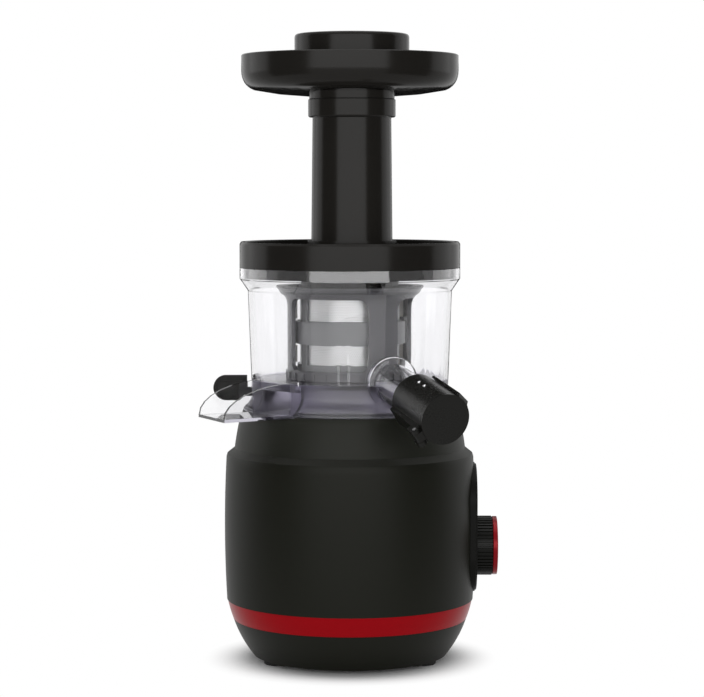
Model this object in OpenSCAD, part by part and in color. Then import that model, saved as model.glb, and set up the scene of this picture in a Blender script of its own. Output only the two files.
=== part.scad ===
// Cold press juicer: geared motor base, clear juicing bowl, strainer, auger and
// turning brush, lid with feed tube, hopper tray and pusher. Millimetres.
// The origin is on the drive axis, in the plane that the feet stand on. +Z is up,
// the control knob is on +X and both spouts point towards -Y.

/* [Feet and bottom cover] */
// Height of the rubber feet
foot_h = 3; // [2:0.5:8]
// Radius of each foot
foot_r = 10; // [6:0.5:12]
// Radius of the circle that the feet stand on
foot_ring_r = 55; // [40:1:56]
// Angle of each foot from the line through the knob
foot_az = 26; // [15:1:30]
// Height of the bottom cover
cover_h = 26; // [22:0.5:36]
// Radius of the bottom cover at its lower edge
cover_foot_r = 67.5; // [64:0.5:72]
// Radius of the bottom cover where it meets the trim ring
cover_top_r = 81.5; // [78:0.5:84]
// Bulge of the bottom cover's side out of a straight cone
cover_bulge = 1.3; // [0:0.1:2.5]
// Thickness of the bottom cover's floor
cover_floor = 3; // [2.6:0.2:5]

/* [Trim ring and motor housing] */
// Thickness of the moulded outer shells
shell_wall = 2.6; // [2:0.1:3.2]
// Height of the coloured trim ring
trim_h = 13.7; // [8:0.1:18]
// Radius of the trim ring where it meets the motor housing
trim_top_r = 85.5; // [83:0.1:90]
// Height of the motor housing's side
housing_h = 101.3; // [98:0.1:120]
// Radius of the motor housing at its shoulder
housing_top_r = 86; // [84:0.1:90]
// Bulge of the motor housing's side out of a straight cone
housing_bulge = 1.4; // [0:0.1:3]
// Height of the sloping shoulder
shoulder_h = 4.4; // [4:0.2:10]
// Radius above the shoulder
neck_r = 80.3; // [79.5:0.1:82]
// Radius of the circle of cover screws
case_screw_ring_r = 62; // [61:0.5:66]
// Radius of the circle of seat screws
seat_screw_ring_r = 70; // [68:0.5:71]
// Radius of the case screws
case_screw_r = 2; // [1.5:0.1:2.2]

/* [Bowl seat] */
// Height of the bowl seat above the shoulder
seat_h = 26.4; // [22:0.2:34]
// Radius of the seat's top face
seat_top_r = 74.9; // [74.5:0.1:78]
// Depth of the deck below the seat's top face
deck_drop = 11.8; // [6:0.2:14]
// Thickness of the deck
deck_t = 3; // [2.5:0.5:5]

/* [Control panel and knob] */
// Width of the control panel
panel_w = 54; // [50:1:58]
// Height of the control panel
panel_h = 90.5; // [80:0.5:92]
// Height of the panel's middle above the ground
panel_z = 92.3; // [90:0.1:93]
// Distance of the panel's face from the drive axis
panel_face = 88; // [87.5:0.1:92]
// Thickness of the panel's face
panel_t = 3; // [2:0.2:4]
// Height of the knob's axis above the ground
knob_z = 79.1; // [76:0.1:90]
// Radius of the knob
knob_r = 20.6; // [16:0.1:22]
// Length of the knob's ribbed skirt
knob_len = 11.3; // [8:0.1:14]
// Thickness of the coloured knob cap
knob_cap_t = 3.9; // [3:0.1:6]
// Number of ribs round the knob
knob_ribs = 40; // [24:2:60]
// Radius of the switch shaft
switch_shaft_r = 3; // [2.5:0.1:3.5]
// Depth of the rotary switch behind the panel
switch_depth = 17; // [14:0.5:17.5]
// Width and height of the rotary switch
switch_w = 28; // [22:1:32]

/* [Cord inlet] */
// Height of the cord inlet above the ground
inlet_z = 60; // [56:1:110]
// Radius of the cord bush's hole
cord_hole_r = 4; // [3:0.1:4.5]
// Radius of the cord bush's body
bush_r = 8; // [7:0.1:9]
// Radius of the cord bush's flange
bush_flange_r = 11; // [10:0.2:13]

/* [Motor] */
// Radius of the motor can
motor_r = 33; // [31:0.5:36]
// Length of the motor can
motor_h = 66; // [64:0.5:66]
// Thickness of the motor can's wall
can_wall = 1.6; // [1.2:0.1:2]
// Radius of the rotor
rotor_r = 25; // [22:0.5:25.5]
// Length of the rotor's iron core
rotor_h = 34; // [28:1:34]
// Air gap between the rotor and the magnets
air_gap = 1; // [0.6:0.1:1.4]
// Radius of the motor shaft
motor_shaft_r = 3; // [2.8:0.1:3.2]
// Radius of the cooling fan
fan_r = 30; // [26:1:34]
// Height of the fan's blades
fan_h = 7; // [5:0.5:7]
// Number of fan blades
fan_blades = 9; // [7:1:12]

/* [Gearbox] */
// Module of the first and second gear stages
fine_module = 1; // [0.98:0.01:1.02]
// Module of the output gear stage
output_module = 1.25; // [1.23:0.01:1.27]
// Teeth of the three pinions
pinion_teeth = 12; // [12:1:12]
// Teeth of the first and second wheels
wheel_teeth = 48; // [48:1:49]
// Teeth of the output wheel
output_teeth = 40; // [39:1:40]
// Thickness of the first wheel
first_face = 6; // [5:0.5:6]
// Thickness of the second wheel
second_face = 7; // [6:0.5:8]
// Thickness of the output wheel
output_face = 11; // [9:0.5:12]
// Inner radius of the gearbox
gearbox_r = 60.4; // [60:0.2:63]
// Radius of the gear axles
axle_r = 2.5; // [2:0.1:2.8]
// Radius of the output shaft
output_shaft_r = 7.5; // [7:0.1:8]
// Corner radius of the hexagonal drive end
drive_hex_r = 7; // [6:0.1:7]
// Height of the drive end above the seat's top face
drive_rise = 15.2; // [12:0.2:17]

/* [Juicing bowl] */
// Height of the juicing bowl
bowl_h = 98.2; // [93:0.1:118]
// Thickness of the bowl's wall
bowl_wall = 2.5; // [2:0.1:3]
// Radius of the bowl's foot
bowl_foot_r = 75; // [74.9:0.1:78.9]
// Radius of the bowl's skirt
bowl_skirt_r = 74.6; // [73.8:0.1:74.8]
// Outer radius of the juice chamber at its floor
chamber_r = 68.2; // [67:0.1:70]
// Outer radius of the juice chamber below its rim
chamber_top_r = 70.8; // [70:0.1:72]
// Radius of the bowl's rim
bowl_rim_r = 76.5; // [75:0.1:78]
// Height of the chamber's floor above the bowl's foot
floor_rise = 21.2; // [21.2:0.1:25]
// Thickness of the chamber's floor
floor_t = 3; // [2.5:0.1:4]
// Outer radius of the column under the chamber's floor
column_r = 23; // [22.5:0.1:23.4]

/* [Pulp chute] */
// Direction of the pulp chute, in degrees from +X
chute_az = 213; // [210:1:216]
// Sideways shift of the pulp chute from the drive axis
chute_shift = 12.3; // [10:0.1:14]
// Width of the pulp duct
chute_w = 36.2; // [32:0.1:38]
// Width of the open chute at its lip
chute_lip_w = 42.7; // [40:0.1:48]
// Height of the duct's floor above the bowl's foot
chute_rise = 1.2; // [0.2:0.1:2.2]
// Inner height of the pulp duct
chute_h = 15; // [13:0.1:15]
// Reach of the chute's lip from the drive axis
chute_reach = 118; // [105:0.5:130]
// Slant of the chute's lip
lip_slant = 6.8; // [0:0.1:8]
// Height of the chute's side walls at the bowl
chute_side_h = 22; // [18:0.5:24]
// Thickness of the chute's walls
chute_wall = 2; // [1.6:0.1:2.4]

/* [Juice spout] */
// Direction of the juice spout, in degrees from +X
spout_az = -65.5; // [-68:0.5:-62]
// Downward slope of the juice spout
spout_slope = 12.7; // [8:0.1:15]
// Height of the spout's root above the bowl's foot
spout_rise = 23.4; // [22.4:0.1:24.4]
// Length of the juice spout
spout_len = 82; // [70:0.5:90]
// Outer radius of the clear spout tube
spout_r = 13.5; // [12.5:0.1:14]
// Thickness of the spout tube's wall
spout_wall = 2.5; // [2:0.1:3]
// Radius of the round boss at the spout's root
spout_boss_r = 17.5; // [16.5:0.1:18]
// Outer radius of the spout's sleeve
sleeve_r = 17; // [16.6:0.1:18]
// Length of the spout's sleeve
sleeve_len = 41; // [36:0.5:44]
// Thickness of the cap's disc
cap_t = 3.5; // [2.5:0.1:5]
// Radius of the cap's hinge pin
hinge_pin_r = 1.4; // [1.2:0.1:1.5]

/* [Strainer and brush] */
// Height of the strainer's rim above the chamber's floor
strainer_h = 62; // [60:0.5:66]
// Outer radius of the strainer
strainer_r = 36.5; // [36.3:0.1:36.7]
// Thickness of the strainer's ribs
strainer_wall = 1.9; // [1.6:0.1:2]
// Outer radius of the strainer's middle band
band_r = 38.4; // [37.5:0.1:38.5]
// Height of the strainer's middle band
band_h = 15.5; // [12:0.5:18]
// Number of windows round the strainer
window_count = 4; // [4:1:8]
// Module of the gears under the strainer
bowl_module = 1.5; // [1.48:0.01:1.5]
// Teeth of the auger's gear
auger_teeth = 24; // [24:1:24]
// Teeth of the small gear between the auger and the brush
idler_teeth = 14; // [14:1:14]
// Thickness of the gears under the strainer
bowl_gear_face = 6; // [5:0.2:6.4]
// Outer radius of the brush frame's ring
brush_ring_r = 44.6; // [44:0.1:45.2]
// Outer radius of the brush frame's legs
brush_leg_r = 43.4; // [43:0.1:44]
// Outer radius of the brush frame's top flange
brush_flange_r = 51.5; // [48:0.1:54]

/* [Auger] */
// Outer radius of the auger's flights
flight_r = 33.2; // [32:0.1:33.3]
// Radius of the auger's core
auger_core_r = 15; // [12:0.5:18]
// Turn of the auger's flights, in degrees
flight_turn = 460; // [300:10:540]
// Radius of the auger's stem
stem_r = 9.5; // [9.2:0.1:10]
// Radius of the auger's top pin
top_pin_r = 5; // [4:0.1:5]

/* [Lid and feed tube] */
// Height of the lid's rim
lid_rim_h = 18.1; // [14:0.1:22]
// Height of the lid's top plate above the bowl
lid_plate_rise = 5.7; // [5:0.1:7]
// Offset of the feed tube from the drive axis
tube_offset = 32; // [31.7:0.1:33]
// Direction of the feed tube, in degrees from +X
tube_az = -87.5; // [-92:0.5:-85]
// Height of the feed tube above the lid's top plate
tube_h = 106.5; // [90:0.1:130]
// Outer radius of the feed tube at its foot
tube_foot_r = 27.6; // [27:0.1:28]
// Outer radius of the feed tube at its collar
tube_top_r = 26.7; // [26:0.1:27]
// Inner radius of the feed tube
tube_bore_r = 24.1; // [23:0.1:24.1]
// Outer radius of the feed tube's collar
collar_r = 29.6; // [29:0.1:31]
// Height of the feed tube's collar
collar_h = 12.2; // [11:0.1:16]
// Turn that frees the lid, in degrees
lid_turn = 30; // [25:1:40]

/* [Hopper tray and pusher] */
// Radius of the hopper tray
tray_r = 75; // [72:0.1:80]
// Height of the tray's rim above the collar
tray_h = 31.8; // [26:0.1:40]
// Thickness of the tray
tray_wall = 2.3; // [2:0.1:2.6]
// Radius of the pusher's rod
pusher_r = 23.4; // [21:0.1:23.6]
// Length of the pusher's rod inside the feed tube
pusher_reach = 90; // [60:1:105]
// Radius of the pusher's head
head_r = 38.9; // [34:0.1:39.5]
// Height of the pusher's head above the tray's rim
head_rise = 14.8; // [8:0.1:24]

/* [Fits] */
// Gap between bodies that rest on or pass each other
seam = 0.3; // [0.2:0.05:0.4]
// Gap round pieces that are fixed into each other
snug = 0.1; // [0.05:0.05:0.2]
// Radial gap of a running shaft
run_gap = 0.05; // [0.03:0.01:0.08]

/* [Hidden] */
$fn = 96;
over = 1;                       // how far a cutter reaches past what it cuts
press_angle = 25;               // of all gear teeth
tooth_tip = 0.8;                // tooth height above the pitch circle, in modules
tooth_root = 1;                 // tooth depth below the pitch circle, in modules
fine_thin = 0.1;                // how much thinner a fine tooth is than its pitch
bowl_thin = 0.2;                // the same for the gears under the strainer
press_fit = 0.02;               // gap round shafts pressed into bearings and seals

// Heights, from the ground up
z_cover = foot_h;
z_cover_floor = z_cover + cover_floor;
z_trim = z_cover + cover_h;
z_housing = z_trim + trim_h;
z_shoulder = z_housing + housing_h;
z_seat_foot = z_shoulder + shoulder_h;
z_seat = z_seat_foot + seat_h;
z_deck = z_seat - deck_drop;
z_deck_low = z_deck - deck_t;

// Heights of the motor and gearbox, which hang from the deck by a neck. They are counted
// up from the bottom cover, and the neck takes what is left.
bell_t = 3;
fan_plate = 1.5;
fan_gap = 2;
fan_room = 1.5;                 // free height under the motor shaft
gear_gap = 2;
box_plate = 3;
z_shaft_low = z_cover_floor + fan_room;
z_fan = z_shaft_low + 1;
z_bell = z_fan + fan_h + fan_plate + fan_gap;
z_motor = z_bell + bell_t;
z_motor_top = z_motor + motor_h;
z_box_floor = z_motor_top + box_plate;
z_first = z_box_floor + gear_gap;
z_first_top = z_first + first_face;
z_second = z_first_top + gear_gap;
z_second_top = z_second + second_face;
z_out = z_second_top + gear_gap;
z_out_top = z_out + output_face;
z_box_top = z_out_top + 3;
z_box_cover = z_box_top + box_plate;
neck_h = z_deck_low - z_box_cover;
z_drive_hex = z_deck + 4;       // foot of the hexagonal drive end
z_drive_top = z_seat + drive_rise;

// Bearings
small_bearing = [motor_shaft_r, 8, 5];       // bore radius, outer radius, width
large_bearing = [output_shaft_r, 17.5, 11];
bearing_wall = 2.6;
can_floor = 2.5;

// Gear train: the motor and the output share the drive axis
fine_dist = fine_module * (pinion_teeth + wheel_teeth) / 2;
output_dist = output_module * (pinion_teeth + output_teeth) / 2;
second_pos = [0, output_dist];
first_y = output_dist / 2;
first_pos = [-sqrt(fine_dist * fine_dist - first_y * first_y), first_y];
hex_axle_r = axle_r + 0.7;
motor_hex_r = motor_shaft_r - 0.1;
output_hex_r = output_shaft_r - 0.1;

// Screws
function screw_head_r(r) = 1.7 * r;
function screw_head_h(r) = 1.2 * r;
boss_wall = 2.5;
boss_r = case_screw_r + boss_wall;
case_screw_len = 30;
case_screw_count = 4;
case_screw_az = 45;
seat_boss_h = 13;
box_ear_ring_r = gearbox_r + 6.6;
box_ear_r = 6;
box_screw_r = 2;
motor_screw_r = 1.5;
motor_screw_ring = 24;
motor_screw_az = [-90, -25, 40];

// Bottom cover and skirts that lie inside each other
skirt_wall = 2.4;
skirt_out_r = cover_top_r - 3.1;
skirt_in_r = skirt_out_r - skirt_wall;
lip_h = 4;
lip_wall = 2.2;
cover_edge = 2.5;
plug_r = 4;
plug_h = 2.2;
vent_count = 12;

// Side outlines of the bottom cover and of the motor housing
cover_side = concat([[cover_foot_r - cover_edge, z_cover]],
    bow([cover_foot_r, z_cover + 0.7], [cover_top_r, z_trim], cover_bulge));
housing_line = [[trim_top_r + 0.4, z_housing], [housing_top_r, z_shoulder - 1.6]];

// Control board, on posts behind the motor
board = [50, 22, 1.6];
board_y = 48;
board_inset = 4;                // of the posts from the board's edges
transformer = [15, 16, 12];
relay = [8, 18, 9];
capacitor = [6, 14];            // radius, height
post_h = 7;
post_r = 3;
z_board = z_cover_floor + post_h;

// Bowl
z_bowl = z_seat + seam;
z_floor = z_bowl + floor_rise;
z_rim = z_bowl + bowl_h;
rim_band_h = 7.3;               // straight part of the bowl's rim
rim_flare_h = 8.5;              // flare below it
skirt_h = 1.2;                  // straight part of the skirt
flare_h = 12;                   // concave flare above the skirt
spigot_h = 3.4;
spigot_wall = 2.2;
seat_in_r = seat_top_r - 3.8;
spigot_r = seat_in_r - seam;
key_w = 6;
gasket_wall = 2.5;
gasket_r = stem_r + run_gap + gasket_wall;
tab_w = 12;                     // angle of a strainer tab
tab_az = [100, 180, 330];
tab_h = 1.5;

// Pulp outlet in the floor: a sector between two radii
outlet_r = [24, 32.4];
outlet_az = [222, 250];

// Gears under the strainer
z_bowl_gear = z_floor + 0.5;
z_bowl_gear_top = z_bowl_gear + bowl_gear_face;
idler_az = 60;
auger_pitch_r = bowl_module * auger_teeth / 2;
idler_dist = bowl_module * (auger_teeth + idler_teeth) / 2;
ring_teeth = auger_teeth + 2 * idler_teeth;
idler_turn = mesh_turn(idler_az, 0, auger_teeth, idler_teeth);
ring_turn = idler_az + (idler_turn - idler_az) * idler_teeth / ring_teeth;
idler_hex_r = 3.4;

// Strainer
strainer_in_r = strainer_r - strainer_wall;
mesh_t = 0.5;
strainer_base_t = 2.8;
z_strainer_base = z_bowl_gear_top + 0.6;
z_strainer = z_strainer_base + strainer_base_t;
z_strainer_top = z_floor + strainer_h;
rim_ring_h = 4;
strainer_foot_wall = 2.8;
idler_window = 48;              // angle left open for the small gear
window_rib = 12;                // angle of a rib between two windows
window_az = 30;
z_band = z_floor + 25;
mesh_slots = 30;

// Brush frame
brush_in_r = bowl_module * (ring_teeth / 2 + tooth_root) + 0.1;
leg_az = [-57, 24, 105, 188];
leg_span = 31;
notch_count = 30;
z_flange = z_strainer_top - 4.5;
flange_step = 3.5;

// Auger
z_auger = z_strainer + 0.8;
auger_base_h = 9;
auger_hex_r = 12;
z_flight_top = z_strainer_top - 3.5;
z_pin_foot = z_flight_top + 3.7;
socket_gap = 0.15;
stem_low = z_deck + 7;
blade_w = 4.5;

// Lid
z_lid = z_rim + seam;
z_plate = z_rim + lid_plate_rise;
plate_t = 3;
z_lid_top = z_rim + lid_rim_h;
z_pin_top = z_plate - 7.5;
lid_wall = 2.9;
lid_skirt_r = bowl_rim_r - bowl_wall - seam;
lid_skirt_h = 6.8;
lug_w = 18;                     // angle of a bayonet lug
lug_h = 2.6;
lug_out = 1;
lug_az = [30, 150, 270];
z_lug = z_rim - 5.4;
throat_r = strainer_in_r - 0.6;
z_throat = z_strainer_top - 1.5;
throat_wall = 3;
slope_angle = 24;
slope_r = 21;
tube_boss_h = 11;
tube_boss_w = 2.6;
tube_pos = tube_offset * [cos(tube_az), sin(tube_az)];
z_tube = z_plate + plate_t;
z_collar = z_tube + tube_h - collar_h;
z_tray = z_tube + tube_h + seam;
socket_depth = 11;
socket_r = collar_r - 2.1;
spigot_out_r = socket_r - seam;

// Tray and pusher
z_tray_rim = z_tray + tray_h;
neck_out_r = collar_r - 0.7;
neck_rim_r = neck_out_r - 1;
z_head_top = z_tray_rim + head_rise;
z_pusher_low = z_tray - pusher_reach;
head_wall = 2.4;
head_edge = 2;
z_head_rim = z_tray + 16.7;
pusher_wall = 2.4;

// Details of the motor base
foot_edge = 0.8;
head_sink = 6;                  // depth of the screw heads in the bottom cover
case_boss_h = 28;
rib_t = 3;
z_seat_boss = z_seat_foot - 7 - seat_boss_h;
vent_r = 14;
vent_len = 22;
vent_w = 3;
inlet_recess = 1.2;
bush_flange_t = 3;
bush_depth = 6;
panel_depth = 9;
panel_edge = 1;
panel_rim = 2.4;
knob_recess = 1.4;
recess_gap = 2.4;
bushing_r = 6;
rib_depth = 0.7;
cap_spigot_r = 8;
cap_spigot_h = 1.5;
cap_inset = 0.3;
cap_crown = 0.7;
seat_skirt_r = neck_r - shell_wall - 2 * snug;
seal_r = 13;
seal_boss_r = 17;
seal_boss_h = 3;
z_seal = z_deck_low + 1;
box_ear_h = 6;
box_screw_len = 22;
bearing_seat = 5.5;

// Details of the motor
commutator_r = 9;
commutator_h = 7;
z_commutator = z_motor + 6;
winding_h = 5;
z_core = z_commutator + commutator_h + winding_h;
rotor_slots = 12;
brush_w = 4.8;
fan_hub_r = 7;

// Details of the bowl
z_chute = z_bowl + chute_rise;
column_low = z_chute - 4;
column_in_r = column_r - 3;
chute_root = 62;                // where the chute's side walls start
notch_side = 2;                 // room beside the chute in the seat's rim
trough_len = 21;                // how far the spout's bore reaches into the chamber
spout_boss_t = 2.6;
cap_face = spout_len - cap_t;   // inner face of the cap, along the spout
tube_end = cap_face - 1;
hinge_turn = -54;               // the cap's hinge is low on the spout's left
latch_turn = 12;                // the latch isn't quite opposite to it
hinge_x = sleeve_r + 3.2;
pad_w = 13;                     // flat pad on the sleeve, under the hinge
pad_rise = 1.6;
ear_pos = 5;
ear_w = 3;
knuckle_r = 3;
latch_gap = 0.3;
latch_t = 1.6;
latch_edge = 2.2;
latch_w = 9;
latch_len = 38;
cap_plug_r = 9.5;
seal_t = 0.7;                   // of the cap's seal
plug_depth = 4;
plug_pos = 43;
plug_size = [18, 16];
idler_axle_r = 2;
idler_boss_h = 5;
lever_az = 181;
lever_pivot_r = 60;
lever_stud_r = 2.2;
lever_hub_r = 5;
lever_len = 35;
lever_t = 4;
lever_arm_h = 6;
lever_paddle_x = 11.5;
lever_slot = 12;
z_lever = z_floor - 12;
z_stud = z_floor - 17.7;
z_paddle = z_floor - 15.1;
paddle_h = 17.4;
paddle_groove = 0.9;
groove_inset = 1.8;
groove_w = 1.8;
strainer_foot_r = strainer_r - 0.2;
strainer_foot_in_r = strainer_foot_r - strainer_foot_wall;
window_rows = [[z_strainer + 1, z_band - 0.5], [z_band + band_h + 0.5, z_strainer_top - rim_ring_h - 0.5]];
flange_h = 4;
notch_depth = 1.2;
wiper_angle = 3.2;
gasket_in_r = bowl_rim_r - bowl_wall + 0.2;
gasket_out_r = bowl_rim_r - 0.6;
gasket_t = 1.5;
neck_rim_h = 7;

// ---------------------------------------------------------------- helpers

// Points of a shallow arc from p to q. A positive sag bulges to the right.
function bow(p, q, sag, n = 8) =
    let (d = q - p, m = [d[1], -d[0]] / norm(d))
    [for (i = [0:n]) let (t = i / n) p + d * t + m * 4 * sag * t * (1 - t)];

// Closes an open outline with its own copy, moved inwards by t.
function band(line, t) =
    concat(line, [for (i = [len(line) - 1:-1:0]) line[i] - [t, 0]]);

// Quarter of an ellipse from [0, h] to [l, 0].
function quarter(l, h, n = 8) = [for (i = [0:n]) [l * sin(90 * i / n), h * cos(90 * i / n)]];

// Involute gear outlines.
function involute(a) = tan(a) * 180 / PI - a;
function half_tooth(n, m, r, thin) =
    let (rp = n * m / 2, rb = rp * cos(press_angle))
    90 / n - thin / (2 * rp) * 180 / PI + involute(press_angle)
    - (r > rb ? involute(acos(rb / r)) : 0);
function gear_points(n, m, tip, root, thin) =
    let (rp = n * m / 2, rr = [rp - root * m, rp, rp + tip * m],
         side = [for (r = rr) half_tooth(n, m, r, thin)])
    [for (i = [0:n - 1], k = [0:5])
        let (j = k < 3 ? k : 5 - k, a = i * 360 / n + (k < 3 ? -side[j] : side[j]))
        rr[j] * [cos(a), sin(a)]];
// Turn that puts gear b in mesh with gear a, with b in direction dir from a.
function mesh_turn(dir, turn, teeth_a, teeth_b) =
    dir + 180 + (180 - (turn - dir) * teeth_a) / teeth_b;
function heading(a, b) = atan2(b[1] - a[1], b[0] - a[0]);

module up(z) translate([0, 0, z]) children();
module turned(points) rotate_extrude() polygon(points);
module ring(r_in, r_out, h) rotate_extrude() translate([r_in, 0]) square([r_out - r_in, h]);
module round_array(n, r, az = 0)
    for (i = [0:n - 1]) rotate([0, 0, az + i * 360 / n]) translate([r, 0, 0]) children();
module sector(r_in, r_out, az_from, az_to, h)
    rotate([0, 0, az_from]) rotate_extrude(angle = az_to - az_from)
        translate([r_in, 0]) square([r_out - r_in, h]);
module hexagon(r, h) cylinder(r = r, h = h, $fn = 6);
module screw(r, len) {
    up(-screw_head_h(r)) cylinder(r = screw_head_r(r), h = screw_head_h(r));
    up(-r / 2) cylinder(r = r, h = len + r / 2);
}
module gear(n, m, face, turn, thin)
    rotate([0, 0, turn]) linear_extrude(face)
        polygon(gear_points(n, m, tooth_tip, tooth_root, thin));
// Puts a shape that is drawn along +Z on the +X axis, with its width along Y.
module along_x(x, z) translate([x, 0, z]) rotate([90, 0, 90]) children();
module stadium(w, h) {
    square([w, h - w], center = true);
    for (s = [-1, 1]) translate([0, s * (h - w) / 2]) circle(r = w / 2);
}

// ---------------------------------------------------------------- motor base

// Outer radius of the motor housing's side at height z.
function housing_r(z) =
    let (a = housing_line[0], b = housing_line[1], t = (z - a[1]) / (b[1] - a[1]))
    a[0] + (b[0] - a[0]) * t + 4 * housing_bulge * t * (1 - t);

module foot_places() for (side = [0, 180], turn = [-foot_az, foot_az])
    rotate([0, 0, side + turn]) translate([foot_ring_r, 0, 0]) children();
module case_screw_places() round_array(case_screw_count, case_screw_ring_r, case_screw_az) children();
module seat_screw_places() round_array(case_screw_count, seat_screw_ring_r, case_screw_az) children();
module box_screw_places() round_array(4, box_ear_ring_r) children();
module board_places()
    for (x = [-1, 1], y = [-1, 1])
        translate([x * (board[0] / 2 - board_inset), board_y + y * (board[1] / 2 - board_inset), 0])
            children();
// Rear of the housing, with +Z pointing out of it.
module inlet_place()
    translate([0, housing_r(inlet_z) - inlet_recess, inlet_z]) rotate([-90, 0, 0]) children();

module rubber_feet() color("#1c1c1c") foot_places() {
    cylinder(r1 = foot_r - foot_edge, r2 = foot_r, h = foot_edge);
    up(foot_edge) cylinder(r = foot_r, h = foot_h - foot_edge);
    up(foot_h) cylinder(r = plug_r, h = plug_h);
}

module bottom_cover() color("#30312c") difference() {
    union() {
        turned(band(cover_side, shell_wall));
        up(z_cover) cylinder(r = cover_foot_r - cover_edge, h = cover_floor);
        up(z_trim - cover_floor)
            ring(skirt_in_r - snug - lip_wall, cover_top_r - shell_wall / 2, cover_floor);
        up(z_trim) ring(skirt_in_r - snug - lip_wall, skirt_in_r - snug, lip_h);
        up(z_cover) case_screw_places() cylinder(r = boss_r + 1, h = cover_h);
        up(z_cover) board_places() cylinder(r = post_r, h = cover_floor + post_h);
    }
    foot_places() cylinder(r = plug_r + snug, h = foot_h + plug_h);
    case_screw_places() {
        up(-over) cylinder(r = screw_head_r(case_screw_r) + snug, h = z_cover + head_sink + over);
        cylinder(r = case_screw_r + snug, h = z_trim + over);
    }
    up(z_cover - over) for (i = [0:vent_count - 1]) rotate([0, 0, (i + 0.5) * 360 / vent_count])
        translate([vent_r, -vent_w / 2, 0]) cube([vent_len, vent_w, cover_floor + 2 * over]);
}

// Two sets of the same screw: up through the bottom cover, and up into the bowl seat.
module case_screws() color("silver") {
    up(z_cover + head_sink) case_screw_places() screw(case_screw_r, case_screw_len);
    up(z_seat_boss) seat_screw_places() screw(case_screw_r, case_screw_len);
}

module trim_ring() color("#9c101c")
    turned(band(bow([cover_top_r, z_trim], [trim_top_r, z_housing], 0.3),
        cover_top_r - skirt_out_r - snug));

module motor_housing() color("#2b2c27") difference() {
    side = concat(bow(housing_line[0], housing_line[1], housing_bulge, 12),
        [[housing_top_r - 0.6, z_shoulder + 0.3], [neck_r, z_seat_foot]]);
    union() {
        turned(band(side, shell_wall));
        up(z_housing) ring(skirt_in_r, trim_top_r - 0.5, shell_wall);
        up(z_trim) ring(skirt_in_r, skirt_out_r, trim_h + shell_wall);
        case_screw_places() up(z_trim) cylinder(r = boss_r, h = case_boss_h);
        case_screw_places() translate([0, -rib_t / 2, z_housing + shell_wall])
            cube([trim_top_r - 1.5 - case_screw_ring_r, rib_t, case_boss_h - trim_h - shell_wall]);
        seat_screw_places() up(z_seat_boss) cylinder(r = boss_r, h = seat_boss_h);
        seat_screw_places() translate([0, -rib_t / 2, z_seat_boss])
            cube([housing_top_r - 1.5 - seat_screw_ring_r, rib_t, seat_boss_h]);
    }
    along_x(panel_face - 18, panel_z)
        linear_extrude(36) stadium(panel_w + 2 * snug, panel_h + 2 * snug);
    case_screw_places() up(z_trim - over) cylinder(r = case_screw_r + press_fit, h = case_boss_h);
    seat_screw_places() up(z_seat_boss - over) cylinder(r = case_screw_r + snug, h = seat_boss_h + 2);
    inlet_place() {
        up(-20) cylinder(r = bush_r + snug, h = 40);
        cylinder(r = bush_flange_r + snug, h = 20);
    }
}

module bowl_seat() color("#2b2c27") difference() {
    side = concat(bow([neck_r, z_seat_foot], [seat_top_r + 0.5, z_seat - 0.8], 0.4),
        [[seat_top_r, z_seat]]);
    union() {
        turned(band(side, shell_wall));
        up(z_deck_low) cylinder(r = seat_top_r + 0.5, h = deck_t);
        turned([[seat_in_r, z_deck], [seat_top_r + 1, z_deck], [seat_top_r - shell_wall / 2, z_seat],
            [seat_in_r, z_seat]]);
        up(z_seat_foot) ring(seat_skirt_r - skirt_wall, neck_r - shell_wall / 2, deck_t);
        up(z_shoulder) ring(seat_skirt_r - skirt_wall, seat_skirt_r, shoulder_h);
        up(z_deck) cylinder(r = seal_boss_r, h = seal_boss_h);
        seat_screw_places() up(z_seat_boss + seat_boss_h)
            cylinder(r = boss_r, h = z_deck_low - z_seat_boss - seat_boss_h);
        box_screw_places() up(z_box_cover) cylinder(r = box_ear_r, h = neck_h);
    }
    up(z_deck_low - over) cylinder(r = output_shaft_r + 0.6, h = deck_t + 2 * over);
    up(z_seal) cylinder(r = seal_r + press_fit, h = 20);
    seat_screw_places() up(z_seat_boss) cylinder(r = case_screw_r + press_fit, h = case_screw_len + 2);
    box_screw_places() up(z_box_cover - over) cylinder(r = box_screw_r + press_fit, h = box_screw_len);
    translate([-key_w / 2 - seam, seat_in_r - over, z_seat - spigot_h - 1])
        cube([key_w + 2 * seam, over + 2, spigot_h + 3]);
    chute_place() translate([chute_root - 6, -chute_w / 2 - chute_wall - notch_side, -chute_wall - seam])
        cube([24, chute_w + 2 * (chute_wall + notch_side), z_seat - z_chute + chute_wall + 2]);
}

module control_panel() color("#262722") difference() {
    union() {
        along_x(panel_face - panel_depth, panel_z)
            linear_extrude(panel_depth - panel_edge) stadium(panel_w, panel_h);
        along_x(panel_face - panel_edge, panel_z)
            linear_extrude(panel_edge) stadium(panel_w - 2 * panel_edge, panel_h - 2 * panel_edge);
    }
    along_x(panel_face - panel_depth - over, panel_z)
        linear_extrude(panel_depth + over - panel_t)
            stadium(panel_w - 2 * panel_rim, panel_h - 2 * panel_rim);
    along_x(panel_face - knob_recess, knob_z) cylinder(r = knob_r + recess_gap, h = 10);
    along_x(panel_face - panel_depth, knob_z) cylinder(r = bushing_r + snug, h = 20);
}

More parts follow.
